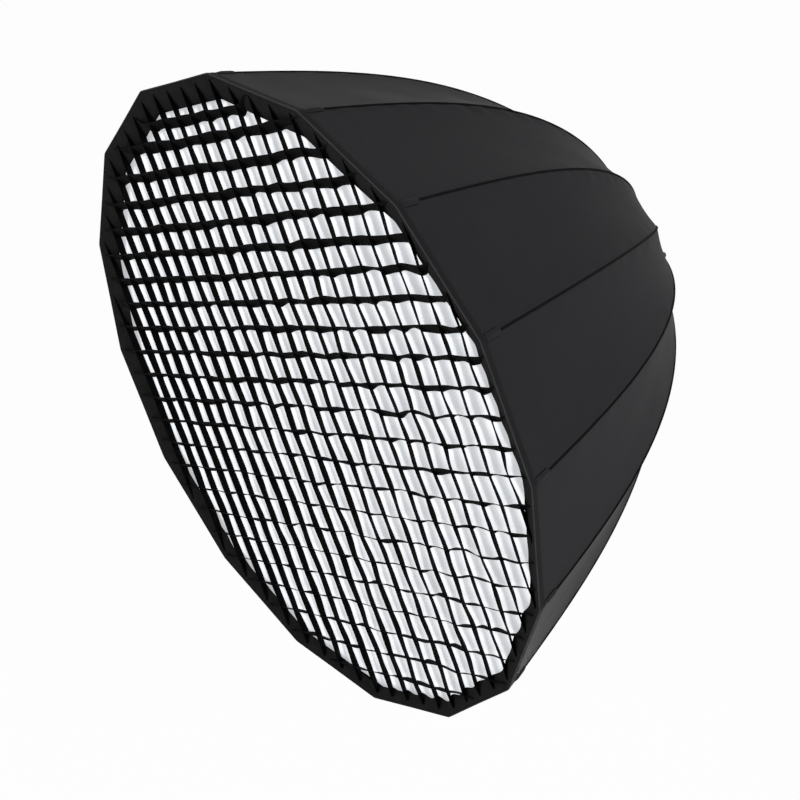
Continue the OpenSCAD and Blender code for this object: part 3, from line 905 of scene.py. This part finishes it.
@dataclass
class Rim(CornerPiece):
    """Edge of the mouth at a corner: binding, hook tape, and a sewn pocket over the rod's tip."""

    patch: Patchwork = field(default_factory=Patchwork)
    tape: float = 0.8 * MM
    binding_w: float = 14 * MM
    legs: tuple[float, ...] = (1, 0.85, 0.6, 0.3, 0.2, 0.02)
    # Bands of the binding's path, over its nose, that take the painted highlight.
    painted_highlight_bands: tuple[int, ...] = (5, 6, 7, 8)
    puff: float = 0.15 * MM
    puffs: int = 6
    cover: float = 7.45 * MM
    lining: float = 5.85 * MM
    nose: float = 1.1 * MM
    inner_nose: float = 0.3 * MM
    hook_start: float = 14.6 * MM
    hook_end: float = 27.5 * MM
    stitch_s: float = 11.5 * MM
    stitch_step: float = 4.6 * MM
    stitch_lift: float = 0.15 * MM
    stitch_share: float = 0.7
    patch_len: float = 38 * MM
    patch_half: float = 7.5 * MM
    patch_bulge: float = 2.2 * MM
    patch_step: float = 3.6 * MM
    patch_rise: float = 14 * MM
    patch_edge: float = 0.35 * MM
    patch_sink: float = 0.25 * MM
    patch_hem: float = 0.8
    patch_steps: tuple[int, int] = (28, 24)
    bell_half: float = 4.5 * MM
    columns: int = 48
    crowding: float = 1.35

    def layer(self, s: Array, off: Array, t: Array, half: Array) -> Array:
        """Points at s from the mouth and off outside the rods, along the sides by t."""
        y, r = self.line.at(s, off)
        return self.on_sides(r, t, half, y)

    def span(self, s: Array, off: Array, columns: int) -> tuple[Array, Array]:
        """Distances from the corner along the side, out to the middle of each panel.

        Args:
            s: distances from the mouth.
            off: distances outwards.
            columns: how many steps to take.

        Returns:
            The distances, one row per s, and half of the side.
        """
        half = (self.line.at(s, off)[1] * SIN_H)[:, None]
        share = hemmed(-1, 1, columns, HEM_SHARE)
        return half * np.sign(share) * np.abs(share) ** self.crowding, half

    def fold(self, high: float, low: float, nose: float) -> tuple[Array, Array]:
        """Path of the binding round the edge: two legs joined by an elliptic nose.

        Args:
            high: distance of the outer leg from the rods' line.
            low: distance of the inner leg.
            nose: how far the nose stands out.

        Returns:
            Distances from the mouth, and outwards from the line.
        """
        legs = np.array(self.legs) * self.binding_w
        turn = np.linspace(0, math.pi, 9)[1:-1]
        middle = (high + low) / 2 + (high - low) / 2 * np.cos(turn)
        return (np.concatenate([legs, -nose * np.sin(turn), legs[::-1]]),
                np.concatenate([np.full(len(legs), high), middle, np.full(len(legs), low)]))

    def binding(self) -> None:
        """Adds the tape folded round the edge, a little puffed, with a painted highlight on its
        nose.
        """
        s, off = self.fold(self.cover + self.tape, self.lining - self.tape, self.nose)
        t, half = self.span(s, off, self.columns)
        puff = self.puff * np.sin(math.pi * np.linspace(0, 1, len(s)) * self.puffs)[:, None] ** 2
        outer = self.layer(s[:, None], off[:, None] + puff, t, half)
        path = np.cumsum(np.concatenate([[0], np.hypot(np.diff(s), np.diff(off))]))
        chart = stack(path[:, None], t + self.corner * CHART_SHIFT)
        s, off = self.fold(self.cover, self.lining, self.inner_nose)
        t, half = self.span(s, off, self.columns)
        inner = self.layer(s[:, None], off[:, None], t, half)
        # Painted highlight: the bands over the nose take the paler tape.
        painted_highlight_bands = np.isin(np.arange(len(path) - 1), self.painted_highlight_bands) * RimFinish.PAINTED_HIGHLIGHT
        self.patch.shell(outer, inner, chart, painted_highlight_bands[:, None])

    def hook_tape(self) -> None:
        """Adds the flat tape inside the mouth that the front sheet clings to."""
        s = np.linspace(self.hook_start, self.hook_end, 5)
        faces = []
        for off in (self.lining, self.lining - self.tape):
            offs = np.full_like(s, off)
            t, half = self.span(s, offs, self.columns // 2)
            faces.append(self.layer(s[:, None], offs[:, None], t, half))
        pile = RimFinish.PILE
        self.patch.shell(*faces, stack(t, s[:, None]), pile, pile, pile)

    def pocket(self) -> None:
        """Adds the sewn pocket: a strip along the rod, round at its rear end, that swells.

        Its half width follows a quarter circle near the rear end, and the swelling over the
        rod is a bell curve across it.
        """
        share = 1 - (1 - np.linspace(0, 1, self.patch_steps[0] + 1)) ** 1.5
        s = self.hook_start + self.patch_len * share
        left = np.clip((self.hook_start + self.patch_len - s) / self.patch_half, 0, 1)
        width = self.patch_half * np.clip(np.sqrt(1 - (1 - left) ** 2), 0.12, 1)
        across = np.linspace(-1, 1, self.patch_steps[1] + 1)
        t = width[:, None] * across
        half = (self.line.at(s, self.cover)[1] * SIN_H)[:, None]
        rise = ease(s, self.hook_start, self.hook_start + self.patch_rise)[:, None]
        bell = np.exp(-(t / self.bell_half) ** 2) * rise * left[:, None] ** 0.3
        edge = self.patch_edge * (1 - np.abs(across) ** 6)
        off = self.cover + self.tape * 0.6 + self.patch_bulge * bell + edge
        outer = self.layer(s[:, None], off, t, half)
        inner = self.layer(s[:, None], np.full_like(t, self.cover - self.patch_sink), t, half)
        # The pocket's side hems take the dark piping finish: partly painted shade along its edges.
        hem = np.abs(across[1:] + across[:-1]) / 2 > self.patch_hem
        nylon = RimFinish.NYLON
        self.patch.shell(outer, inner, stack(s[:, None], t + self.corner * CHART_SHIFT),
                         np.where(hem, RimFinish.PIPING_WITH_PAINTED_SHADE, nylon), nylon, nylon)
        self.sew(np.concatenate([outer[:, 2], outer[-1:, len(across) // 2], outer[::-1, -3]]),
                 self.patch_step)

    def sew(self, path: Array, step: float) -> None:
        """Adds stitches at even steps along a path of points.

        Args:
            path: points to follow.
            step: distance between stitches.
        """
        run = np.concatenate([[0], np.cumsum(np.linalg.norm(np.diff(path, axis=0), axis=1))])
        stops = np.arange(step / 2, run[-1] - step / 4, step)
        ahead = np.minimum(stops + step / 4, run[-1])
        at, front = (np.stack([np.interp(x, run, path[:, i]) for i in range(3)], -1)
                     for x in (stops, ahead))
        up = np.broadcast_to(self.place(1.0, 0.0, 0.3), at.shape)
        self.patch.stitches(at, front - at, up, RimFinish.THREAD, step * self.stitch_share)

    def build(self) -> None:
        """Builds the edge of the mouth around the corner."""
        self.binding()
        self.hook_tape()
        self.pocket()
        s = np.array([self.stitch_s])
        t, half = self.span(s, self.cover, 60)
        off = np.full((1, 1), self.cover + self.tape + self.stitch_lift)
        self.sew(self.layer(s[:, None], off, t, half)[0], self.stitch_step)
        obj = self.patch.build(f"rim_{self.tag}", *self.wardrobe.get(
            Wardrobe.tape, Wardrobe.pile, Wardrobe.thread, Wardrobe.nylon, Wardrobe.painted_highlight_tape,
            Wardrobe.piping_with_painted_shade))
        settle(obj, self.body, "black_tape", "rim_binding", "hook_tape",
               "corner_patches", "rod_pockets")
        self.gather(obj, float(self.line.folded(0, 0)))


@dataclass
class Rod(CornerPiece):
    """A spring rod with a soft cap on its tip."""

    radius: float = 2.5 * MM
    cap_r: float = 4.25 * MM
    cap_len: float = 14 * MM
    bevel: tuple[float, float] = (0.6 * MM, 0.5 * MM)
    lead: float = 2 * MM
    tip: float = 37.6 * MM
    floor: float = 13 * MM
    sides: int = 16
    rings: int = 72

    def build(self) -> None:
        """Sweeps a circle along the rod's line, wider on the cap and domed at the tip."""
        dome = np.linspace(0.08, 1, 7) * math.pi / 2
        cap_end = self.tip + self.cap_len
        root = self.line.length + self.line.socket - self.floor
        s = np.concatenate([self.tip - self.cap_r * np.cos(dome),
                            [cap_end - self.bevel[0], cap_end, cap_end],
                            np.linspace(cap_end + self.lead, root, self.rings)])
        size = np.concatenate([self.cap_r * np.sin(dome), [self.cap_r, self.cap_r - self.bevel[1]],
                               np.full(self.rings + 1, self.radius)])
        turn = np.arange(self.sides) * 2 * math.pi / self.sides
        y, r = self.line.at(s[:, None], size[:, None] * np.cos(turn))
        side = size[:, None] * np.sin(turn)
        capped = np.arange(len(s) - 1)[:, None] < len(dome) + 2
        patch = Patchwork()
        patch.tube(self.place(r, side, y), capped.astype(int))
        obj = patch.build(f"spring_rod_{self.tag}",
                          *self.wardrobe.get(Wardrobe.spring, Wardrobe.pvc))
        settle(obj, self.body, "spring_rod", self.body)


def weld(obj: Object) -> None:
    """Merges the points that meet at a pole, and drops the faces that close up there.

    Args:
        obj: the piece.
    """
    mesh = bmesh.new()
    mesh.from_mesh(obj.data)
    bmesh.ops.remove_doubles(mesh, verts=mesh.verts, dist=1e-6)
    bmesh.ops.dissolve_degenerate(mesh, edges=mesh.edges, dist=1e-7)
    mesh.to_mesh(obj.data)
    mesh.free()


@dataclass
class FlatSheets(CornerPiece):
    """White sheets across the mouth and half way in, in wedges."""

    thickness: float = 0.8 * MM
    front_depth: float = 25.0 * MM
    front_r: float = 0.5900
    baffle_depth: float = 0.470
    loop_len: float = 26 * MM
    loop_half: float = 4 * MM
    loop_lap: float = 4 * MM
    loop_faces: tuple[float, float] = (-0.5 * MM, 0.4 * MM)
    loop_waist: float = 0.15
    eye_r: float = 3.6 * MM
    eye_t: float = 0.6 * MM
    ripple: float = 0.9 * MM
    rows: int = 44
    columns: int = 28

    def wedge(self, radius: float, y: float) -> Array:
        """Points of a sheet's wedge around a corner.

        The share q of the radius and the distance t along the outer sides give
        u = q (radius - |t| sin(half a step)), v = q t cos(half a step). Slow crossed sine
        waves, all behind the sheet's front plane, make the cloth uneven.

        Args:
            radius: radius of the sheet's corners.
            y: place of the face.

        Returns:
            The points, rows by columns.
        """
        q = np.linspace(0, 1, self.rows + 1)[:, None]
        t = hemmed(-1, 1, self.columns, 0.004)[None] * radius * SIN_H
        points = self.place(q * (radius - np.abs(t) * SIN_H), q * t * COS_H, y)
        x, z = points[..., 0], points[..., 2]
        wave = (np.sin(x * 71 + 2 * np.sin(z * 13)) + np.sin(z * 83 - 1.7 * np.sin(x * 17))
                + np.sin((x + z) * 39))
        points[..., 1] += self.ripple * (1 + wave / 3)
        return points

    def hang(self, name: str, node: str, radius: float, y: float, holder: str,
             lean: float) -> None:
        """Builds a wedge as stretched cloth, with the area of two triangles beside its corner.

        Args:
            name: name of the sheet's pieces.
            node: the node that they replace.
            radius: radius of the sheet's corners.
            y: place of its front face.
            holder: the node that holds it; not used.
            lean: how far it leans backwards as it draws in.
        """
        patch = Patchwork()
        patch.shell(self.wedge(radius, y), self.wedge(radius, y + self.thickness))
        obj = patch.build(f"{name}_{self.tag}", *self.wardrobe.get(Wardrobe.diffuser))
        weld(obj)
        settle(obj, "ring", "white_diffuser", node)
        self.draw_in(obj, y, lean)

    def build(self) -> None:
        """Builds the front sheet and the baffle with its loops."""
        front_y, baffle_y = (self.line.mouth_y + d for d in (self.front_depth, self.baffle_depth))
        s = self.line.depth_at(self.baffle_depth)
        rod_r = float(self.line.at(s)[1])
        baffle_r = rod_r - self.loop_len
        self.hang("front_sheet", "front_sheet", self.front_r, front_y, "hook_tape", BUNCH_LEAN)
        self.hang("baffle", "inner_baffle", baffle_r, baffle_y, "baffle_loops", 0.0)
        self.loop(s, rod_r, baffle_r, baffle_y)

    def loop(self, s: float, rod_r: float, inner_r: float, y: float) -> None:
        """Builds an elastic strap from the baffle's corner and its eye round the rod.

        Args:
            s: distance from the mouth along the rod.
            rod_r: radius of the rod there.
            inner_r: radius of the baffle's corner.
            y: place of the baffle.
        """
        u = np.linspace(inner_r - self.loop_lap, rod_r - self.eye_r, 8)[:, None]
        waist = 1 - self.loop_waist * np.sin(math.pi * np.linspace(0, 1, len(u)))[:, None]
        v = np.linspace(-1, 1, 7) * self.loop_half * waist
        patch = Patchwork()
        patch.shell(*(self.place(u, v, y + d) for d in self.loop_faces), stack(v, u))
        turn = np.linspace(0, 2 * math.pi, 25)[:-1, None]
        across = np.linspace(-1, 1, 5) * self.loop_half
        eye = []
        for r, order in ((self.eye_r + self.eye_t, across), (self.eye_r, across[::-1])):
            eye_y, eye_u = self.line.at(s + order + 0 * turn, r * np.cos(turn))
            eye.append(self.place(eye_u, r * np.sin(turn), eye_y))
        patch.tube(np.concatenate(eye, axis=1), looped=True)
        obj = patch.build(f"baffle_loop_{self.tag}", *self.wardrobe.get(Wardrobe.elastic))
        settle(obj, self.body, "black_elastic", "baffle_loops")


@dataclass
class Grid(CornerPiece):
    """A wedge of crossed canvas strips hung in a loose border.

    The strips' lattice leans by a little less than half a step. Its knots are uneven, the
    strips' back edges hang down and to the side, and the grid's weight pulls the border down.
    """

    patch: Patchwork = field(default_factory=Patchwork)
    lean: float = math.radians(10.1)
    pitch: float = 49 * MM
    shift: tuple[float, float] = (2.8 * MM, 6.1 * MM)
    reach: int = 12
    front: float = 3.4 * MM
    back: float = 18.4 * MM
    end_r: float = 0.5900
    shortest: float = 0.1 * MM
    half_t: float = 0.9 * MM
    thin: float = 0.35
    hang: tuple[float, float] = (-9.5 * MM, -14 * MM)
    taper: float = 0.0125
    rise: float = 14 * MM
    seam: tuple[float, float] = (0.3 * MM, 5.0 * MM)
    inner_r: float = 0.5650
    inner_depth: float = 16 * MM
    droop: float = 4 * MM
    slack: tuple[tuple[float, float, float], ...] = (
        (-45, 45, 10 * MM), (26, 28, 12 * MM), (180, 24, -12 * MM))
    border_t: float = 0.8 * MM
    edge_steps: tuple[int, int] = (12, 80)
    pleat: float = 1.1 * MM
    pleat_lean: float = 0.8
    scallop: float = 2.6 * MM
    scallop_spread: float = 0.7
    knot_spread: float = 1.5 * MM
    back_spread: float = 1.7 * MM
    spread_limit: float = 1.7
    wild: tuple[float, float] = (0.3, 0.6)
    bow: tuple[float, float] = (1.1 * MM, 2.1 * MM)
    front_bow: float = 0.6
    skew: float = 0.4
    arch: tuple[float, float] = (2.0 * MM, 0.003)
    sink: tuple[int, float] = (11, -13 * MM)
    column: float = 4 * MM
    hem: float = 0.3 * MM
    knots: Array = field(init=False)
    bows: Array = field(init=False)
    skews: Array = field(init=False)
    sinks: Array = field(init=False)

    def __post_init__(self) -> None:
        """Draws the uneven knots (front and back), and each strip's bow and skew between them."""
        dice = np.random.default_rng(SEED + 1)
        n = 2 * self.reach + 3
        spread, bow = (np.reshape(pair, (2, 1, 1, 1)) for pair in (
            (self.knot_spread, self.back_spread), self.bow))
        limits = (-self.spread_limit, self.spread_limit)
        self.knots = spread * dice.normal(0, 1, (2, n, n, 2)).clip(*limits)
        self.bows = bow * dice.normal(0, 1, (2, 2, n, n)).clip(*limits)
        self.skews = np.exp(dice.normal(0, self.skew, (2, n, n)))
        self.sinks = np.zeros(n)
        self.sinks[self.reach + 1 + self.sink[0]] = self.sink[1]

    def inset(self, u: Array, v: Array) -> Array:
        """Distance from a lattice point to the nearest strip end, positive inside."""
        off_side = (np.arctan2(u, v) - self.lean) % STEP - HALF
        return self.end_r * COS_H - np.hypot(u, v) * np.cos(off_side)

    def offset(self, u: Array, v: Array, depth: Array, rows: bool) -> tuple[Array, Array]:
        """How far a strip's point lies from its place on the even lattice.

        Knots shift by their own random step, blended smoothly from knot to knot. Between two
        knots a strip bows like half a skewed sine. The back edge adds the hang and a small draw to
        the middle, and a row's back edge arches up between its knots, most at the right. One
        row at the top hangs low. All of it fades out at the ends, which are sewn to the border.

        Args:
            u: places along the rows.
            v: places across the rows.
            depth: 0 at the front edge and 1 at the back edge.
            rows: whether the strip is a row.

        Returns:
            The shift along and across the rows.
        """
        gu, gv = ((x - s) / self.pitch + self.reach + 1 for x, s in zip((u, v), self.shift))
        top = 2 * self.reach + 1
        iu, iv = (np.clip(np.floor(g + 1e-9), 0, top).astype(int) for g in (gu, gv))
        fu, fv = np.clip(gu - iu, 0, 1), np.clip(gv - iv, 0, 1)
        wu, wv = ease(fu, 0, 1)[..., None], ease(fv, 0, 1)[..., None]
        front, back = (layer[iu, iv] * (1 - wu) * (1 - wv) + layer[iu + 1, iv] * wu * (1 - wv)
                       + layer[iu, iv + 1] * (1 - wu) * wv + layer[iu + 1, iv + 1] * wu * wv
                       for layer in self.knots)
        loose = ease(self.inset(u, v), 0, self.rise)
        wild = 1 + self.wild[0] * np.clip((u - v) / self.wild[1], -1, 1)
        low = self.sinks[iv] * (1 - wv[..., 0]) + self.sinks[iv + 1] * wv[..., 0]
        moved = [(wild * (front[..., axis] + depth * back[..., axis])
                  + depth * (self.hang[axis] - self.taper * x)) * loose
                 for axis, x in enumerate((u, v))]
        way = int(rows)
        bows = self.bows[way][:, iu, iv] * wild
        half_sine = np.sin(math.pi * (fu if rows else fv) ** self.skews[way][iu, iv])
        sway = ((1 - depth) * bows[0] * self.front_bow + depth * bows[1]) * half_sine
        if rows:
            sway = sway + depth * (self.arch[0] + self.arch[1] * u) * (half_sine - MEAN_SINE)
        moved[way] = moved[way] + sway * loose
        return moved[0], moved[1] + low * loose

    def to_frame(self, u: Array, v: Array, y: Array) -> Array:
        """Turns lattice places into the frame: the lattice leans in X and Z."""
        cos, sin = math.cos(self.lean), math.sin(self.lean)
        return stack(u * cos - v * sin, self.line.mouth_y + y, u * sin + v * cos)

    def span(self, fixed: float, rows: bool) -> tuple[float, float]:
        """Where a strip's middle line enters and leaves the wedge.

        The wedge is four half planes: two through the axis and two sides of the ends. Along
        the line each is a plain inequality, so the ends are the largest lower bound and the
        smallest upper bound.

        Args:
            fixed: the strip's place across its own direction.
            rows: whether the strip is a row.

        Returns:
            Start and end along the strip. The start lies past the end where it misses.
        """
        a = self.angle + self.lean
        radial, side = np.array([math.sin(a), math.cos(a)]), np.array([math.cos(a), -math.sin(a)])
        run = np.array([1.0, 0.0] if rows else [0.0, 1.0])
        start = np.array([0.0, fixed] if rows else [fixed, 0.0])
        through = np.stack([radial * SIN_H - side * COS_H, radial * SIN_H + side * COS_H])
        sides = np.stack([-radial * COS_H - side * SIN_H, -radial * COS_H + side * SIN_H])
        gap = np.concatenate([through @ start, self.end_r * COS_H + sides @ start])
        rate = np.concatenate([through, sides]) @ run
        if (gap[np.abs(rate) <= 1e-9] < 0).any():
            return 1.0, 0.0
        with np.errstate(divide="ignore", invalid="ignore"):
            stop = -gap / rate
        return (float(np.max(stop[rate > 1e-9], initial=-10)),
                float(np.min(stop[rate < -1e-9], initial=10)))

    def strip(self, fixed: float, low: float, high: float, rows: bool) -> None:
        """Adds one strip of canvas between two places along it.

        Args:
            fixed: the strip's place across its own direction.
            low: where it starts.
            high: where it ends.
            rows: whether it is a row.
        """
        along = hemmed(low, high, max(2, int((high - low) / self.column)),
                       min(self.hem, (high - low) / 8))
        depth = np.linspace(0, 1, 5)[:, None]
        still = np.full_like(along, fixed)
        u, v = (along, still) if rows else (still, along)
        du, dv = self.offset(u[None], v[None], depth, rows)
        y = self.front + (self.back - self.front) * depth
        half = self.half_t * (1 - self.thin * np.abs(2 * depth - 1) ** 4)
        faces = [self.to_frame(u + du + (0 if rows else sign * half),
                               v + dv + (sign * half if rows else 0), y) for sign in (1, -1)]
        self.patch.shell(*faces, stack(along[None], y))

    def edge(self) -> None:
        """Adds the border: a cone from the rim's binding back between the ends of the strips.

        The share q of its width runs inwards. The droop grows with q, and so does the slack,
        a sum of bell curves over the direction. Its folds follow a cosine with one turn per
        strip, of columns at the top and bottom and of rows at the sides. The inner edge is
        drawn in at the strips in the same way, more at the bottom and unevenly.
        """
        q = np.linspace(0, 1, self.edge_steps[0] + 1)[:, None]
        share = hemmed(-1, 1, self.edge_steps[1], HEM_SHARE)[None]
        heading = np.degrees(self.angle + np.arctan2(share * SIN_H * COS_H,
                                                     1 - np.abs(share) * SIN_H ** 2))
        slack = sum(size * np.exp(-(((heading - middle + 180) % 360 - 180) / width) ** 2)
                    for middle, width, size in self.slack)
        outer_y, outer_r = self.line.at(*self.seam)
        r = outer_r + (self.inner_r - slack - outer_r) * q
        half = r * SIN_H
        t = share * half
        y = outer_y + (self.line.mouth_y + self.inner_depth - outer_y) * q
        front = self.on_sides(r, t, half, y)
        front[..., 2] -= self.droop * q
        x, z = front[..., 0], front[..., 2]
        cos, sin = math.cos(self.lean), math.sin(self.lean)
        u, v = x * cos + z * sin, z * cos - x * sin
        turn_u, turn_v = (np.cos(2 * math.pi * (c - s - self.pleat_lean * h * q) / self.pitch)
                          for c, s, h in zip((u, v), self.shift, self.hang))
        fold = (turn_u * v ** 2 + turn_v * u ** 2) / (u ** 2 + v ** 2)
        front[..., 1] += self.pleat * fold * np.sin(math.pi * q ** 1.4)
        turn = np.radians(heading)
        beat = np.sin(7 * turn + 1.3 * np.sin(3 * turn))
        uneven = (1 - np.cos(turn)) * (1 + self.scallop_spread * beat) / 2
        drawn = self.scallop * uneven * fold * q ** 2 / np.hypot(u, v)
        front[..., ::2] *= (1 - drawn)[..., None]
        back = front + np.array([0, self.border_t, 0])
        nap = 1  # number of the border's finish
        self.patch.shell(front, back, stack(t, r), nap, nap, nap)

    def build(self) -> None:
        """Builds the strips and the border."""
        lines = np.arange(-self.reach, self.reach + 1) * self.pitch
        for rows in (True, False):
            for fixed in lines + self.shift[int(rows)]:
                low, high = self.span(float(fixed), rows)
                if high - low > self.shortest:
                    self.strip(float(fixed), low, high, rows)
        self.edge()
        obj = self.patch.build(f"grid_{self.tag}",
                               *self.wardrobe.get(Wardrobe.canvas, Wardrobe.nap))
        settle(obj, "ring", "grid_fabric", "grid_strips", "grid_border")
        self.draw_in(obj, self.line.mouth_y + self.back)


@dataclass
class Cuff:
    """Ribbed elastic that holds the canopy's end on the speed ring."""

    wardrobe: Wardrobe
    inner_r: float = 0.0953
    thickness: float = 0.8 * MM
    front_y: float = -16.85 * MM
    width: float = 3.0 * MM
    crown: float = 0.45
    ribs: int = 150
    rib_depth: float = 0.3
    around: int = 900

    def build(self) -> None:
        """Carries a rounded strip round the ring, with a fine cosine of ribs on its outside."""
        turn = np.linspace(0, 2 * math.pi, self.around + 1)[:-1][:, None]
        share = np.linspace(-1, 1, 7)
        crown = self.thickness * (1 - self.crown * (1 - np.sqrt(1 - 0.98 * share ** 2)))
        rib = 1 - self.rib_depth * (0.5 + 0.5 * np.cos(self.ribs * turn))
        r = np.concatenate([crown * rib, np.zeros_like(crown * turn)], axis=1) + self.inner_r
        y = self.front_y + self.width / 2 * (1 + np.concatenate([share, share[::-1]]))
        patch = Patchwork()
        patch.tube(stack(r * np.sin(turn), y, r * np.cos(turn)), looped=True)
        obj = patch.build("cuff", *self.wardrobe.get(Wardrobe.elastic))
        settle(obj, "ring", "black_elastic", "rear_cuff")


@dataclass
class Hardware:
    """Ring, adapter, knuckles and fasteners, which keep their own shapes."""

    wardrobe: Wardrobe

    def dress(self) -> None:
        """Gives each hard node its finish."""
        plain = {
            "adapter_ring": Wardrobe.aluminium, "retaining_ring": Wardrobe.anodised,
            "retaining_screws": Wardrobe.steel, "speed_ring": Wardrobe.anodised,
            "hinge_pins": Wardrobe.steel, "lock_screw": Wardrobe.steel,
            "lock_knob": Wardrobe.abs_plastic,
        }
        knuckles = {f"knuckle_{corner + 1:02d}": Wardrobe.filled_nylon
                    for corner in range(CORNERS)}
        for name, finish in (plain | knuckles).items():
            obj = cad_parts[name]
            material, = self.wardrobe.get(finish)
            if not obj.material_slots:
                obj.data.materials.append(material)
            for slot in obj.material_slots:
                slot.material = material
            LOG.info("%s: %s", name, finish.name)


@dataclass(frozen=True)
class Lamp:
    """A round area lamp, invisible to the camera."""

    name: str
    spot: Point
    target: Point
    size: float
    power: float

    def hang(self) -> None:
        """Puts the lamp in its place, aimed at its target."""
        data = bpy.data.lights.new(self.name, "AREA")
        data.shape, data.size, data.energy = "DISK", self.size, self.power
        aim = (Vector(self.target) - Vector(self.spot)).to_track_quat("-Z", "Y")
        obj = show(self.name, data)
        obj.matrix_world = Matrix.Translation(self.spot) @ aim.to_matrix().to_4x4()
        obj.visible_camera = False


@dataclass
class Studio:
    """Pale floor, soft light and the camera at the photograph's angle."""

    floor_z: float = -1.7
    floor_half: float = 90.0
    floor_white: float = 0.96
    lens: float = 83.674
    eye: Point = (2.5456, -2.2990, 1.2495)
    right: Point = (0.61849, 0.75522, -0.21705)
    up: Point = (-0.19029, 0.41194, 0.89112)
    ahead: Point = (-0.76241, 0.50985, -0.39849)
    world_light: float = 0.5
    lamps: tuple[Lamp, ...] = (
        Lamp("key", (-1.2, -4.6, 2.6), (0, -0.5, 0), 3.0, 104.0),
        Lamp("upper", (3.4, -0.4, 2.4), (0, -0.4, 0), 2.0, 14.0),
        Lamp("side", (4.2, 0.2, 0.2), (0, -0.4, 0), 2.5, 54.0),
        Lamp("low", (-0.45, -0.3, -1.6), (0.3, -0.45, -0.4), 1.0, 26.0),
    )

    def white_to_eye(self, tree: Tree) -> Socket:
        """Share of rays from the camera, mirrors or glass, 1 for those and 0 for light.

        Args:
            tree: the node tree of the world or of a material.

        Returns:
            The share.
        """
        path = add_node(tree, "ShaderNodeLightPath").outputs
        seen = path["Is Camera Ray"]
        for ray in ("Is Glossy Ray", "Is Transmission Ray"):
            seen = calc(tree, "MAXIMUM", seen, path[ray])
        return seen

    def light(self) -> None:
        """Sets up the white world and the lamps."""
        world = bpy.data.worlds.new("studio")
        world.use_nodes = True
        tree = world.node_tree
        strength = add_node(tree, "ShaderNodeMapRange", {
            "Value": self.white_to_eye(tree), "To Min": self.world_light, "To Max": 1.0})
        shade = tree.nodes["Background"].inputs
        shade["Color"].default_value = (1, 1, 1, 1)
        tree.links.new(strength.outputs["Result"], shade["Strength"])
        bpy.context.scene.world = world
        for lamp in self.lamps:
            lamp.hang()

    def floor(self) -> None:
        """Lays a plain pale floor far below, white to the eye but for a soft shadow."""
        material = start_material("white_painted_floor", {
            "Base Color": linear("#f2f2f2"), "Roughness": 0.9})
        tree = material.node_tree
        glow = add_node(tree, "ShaderNodeEmission", {"Color": (1, 1, 1, 1), "Strength": 1.0})
        mix = add_node(tree, "ShaderNodeMixShader", {
            0: calc(tree, "MULTIPLY", self.white_to_eye(tree), self.floor_white),
            1: tree.nodes["Principled BSDF"].outputs[0], 2: glow.outputs[0]})
        tree.links.new(mix.outputs[0], tree.nodes["Material Output"].inputs["Surface"])
        mesh = bpy.data.meshes.new("floor")
        h, z = self.floor_half, self.floor_z
        mesh.from_pydata([(-h, -h, z), (h, -h, z), (h, h, z), (-h, h, z)], [], [(0, 1, 2, 3)])
        mesh.materials.append(material)
        show("floor", mesh)

    def camera(self) -> None:
        """Puts the camera at the photograph's viewing angle."""
        data = bpy.data.cameras.new("camera")
        data.lens, data.sensor_width = self.lens, 36.0
        data.clip_start, data.clip_end = 0.05, 300.0
        obj = show("camera", data)
        turn = Matrix((self.right, self.up, [-x for x in self.ahead])).transposed().to_4x4()
        obj.matrix_world = Matrix.Translation(self.eye) @ turn
        bpy.context.scene.camera = obj
        bpy.context.scene.view_settings.view_transform = "Standard"


def main() -> None:
    """Builds every sub-assembly in order."""
    logging.basicConfig(level=logging.INFO, format="%(name)s %(message)s")
    studio = Studio()
    studio.camera()
    studio.floor()
    studio.light()
    wardrobe, line = Wardrobe(), RodLine()
    Hardware(wardrobe).dress()
    for kind in (Canopy, Rim, Rod, FlatSheets, Grid):
        for corner in range(CORNERS):
            kind(line, wardrobe, corner).build()
    Cuff(wardrobe).build()


if __name__ == "__main__":
    main()
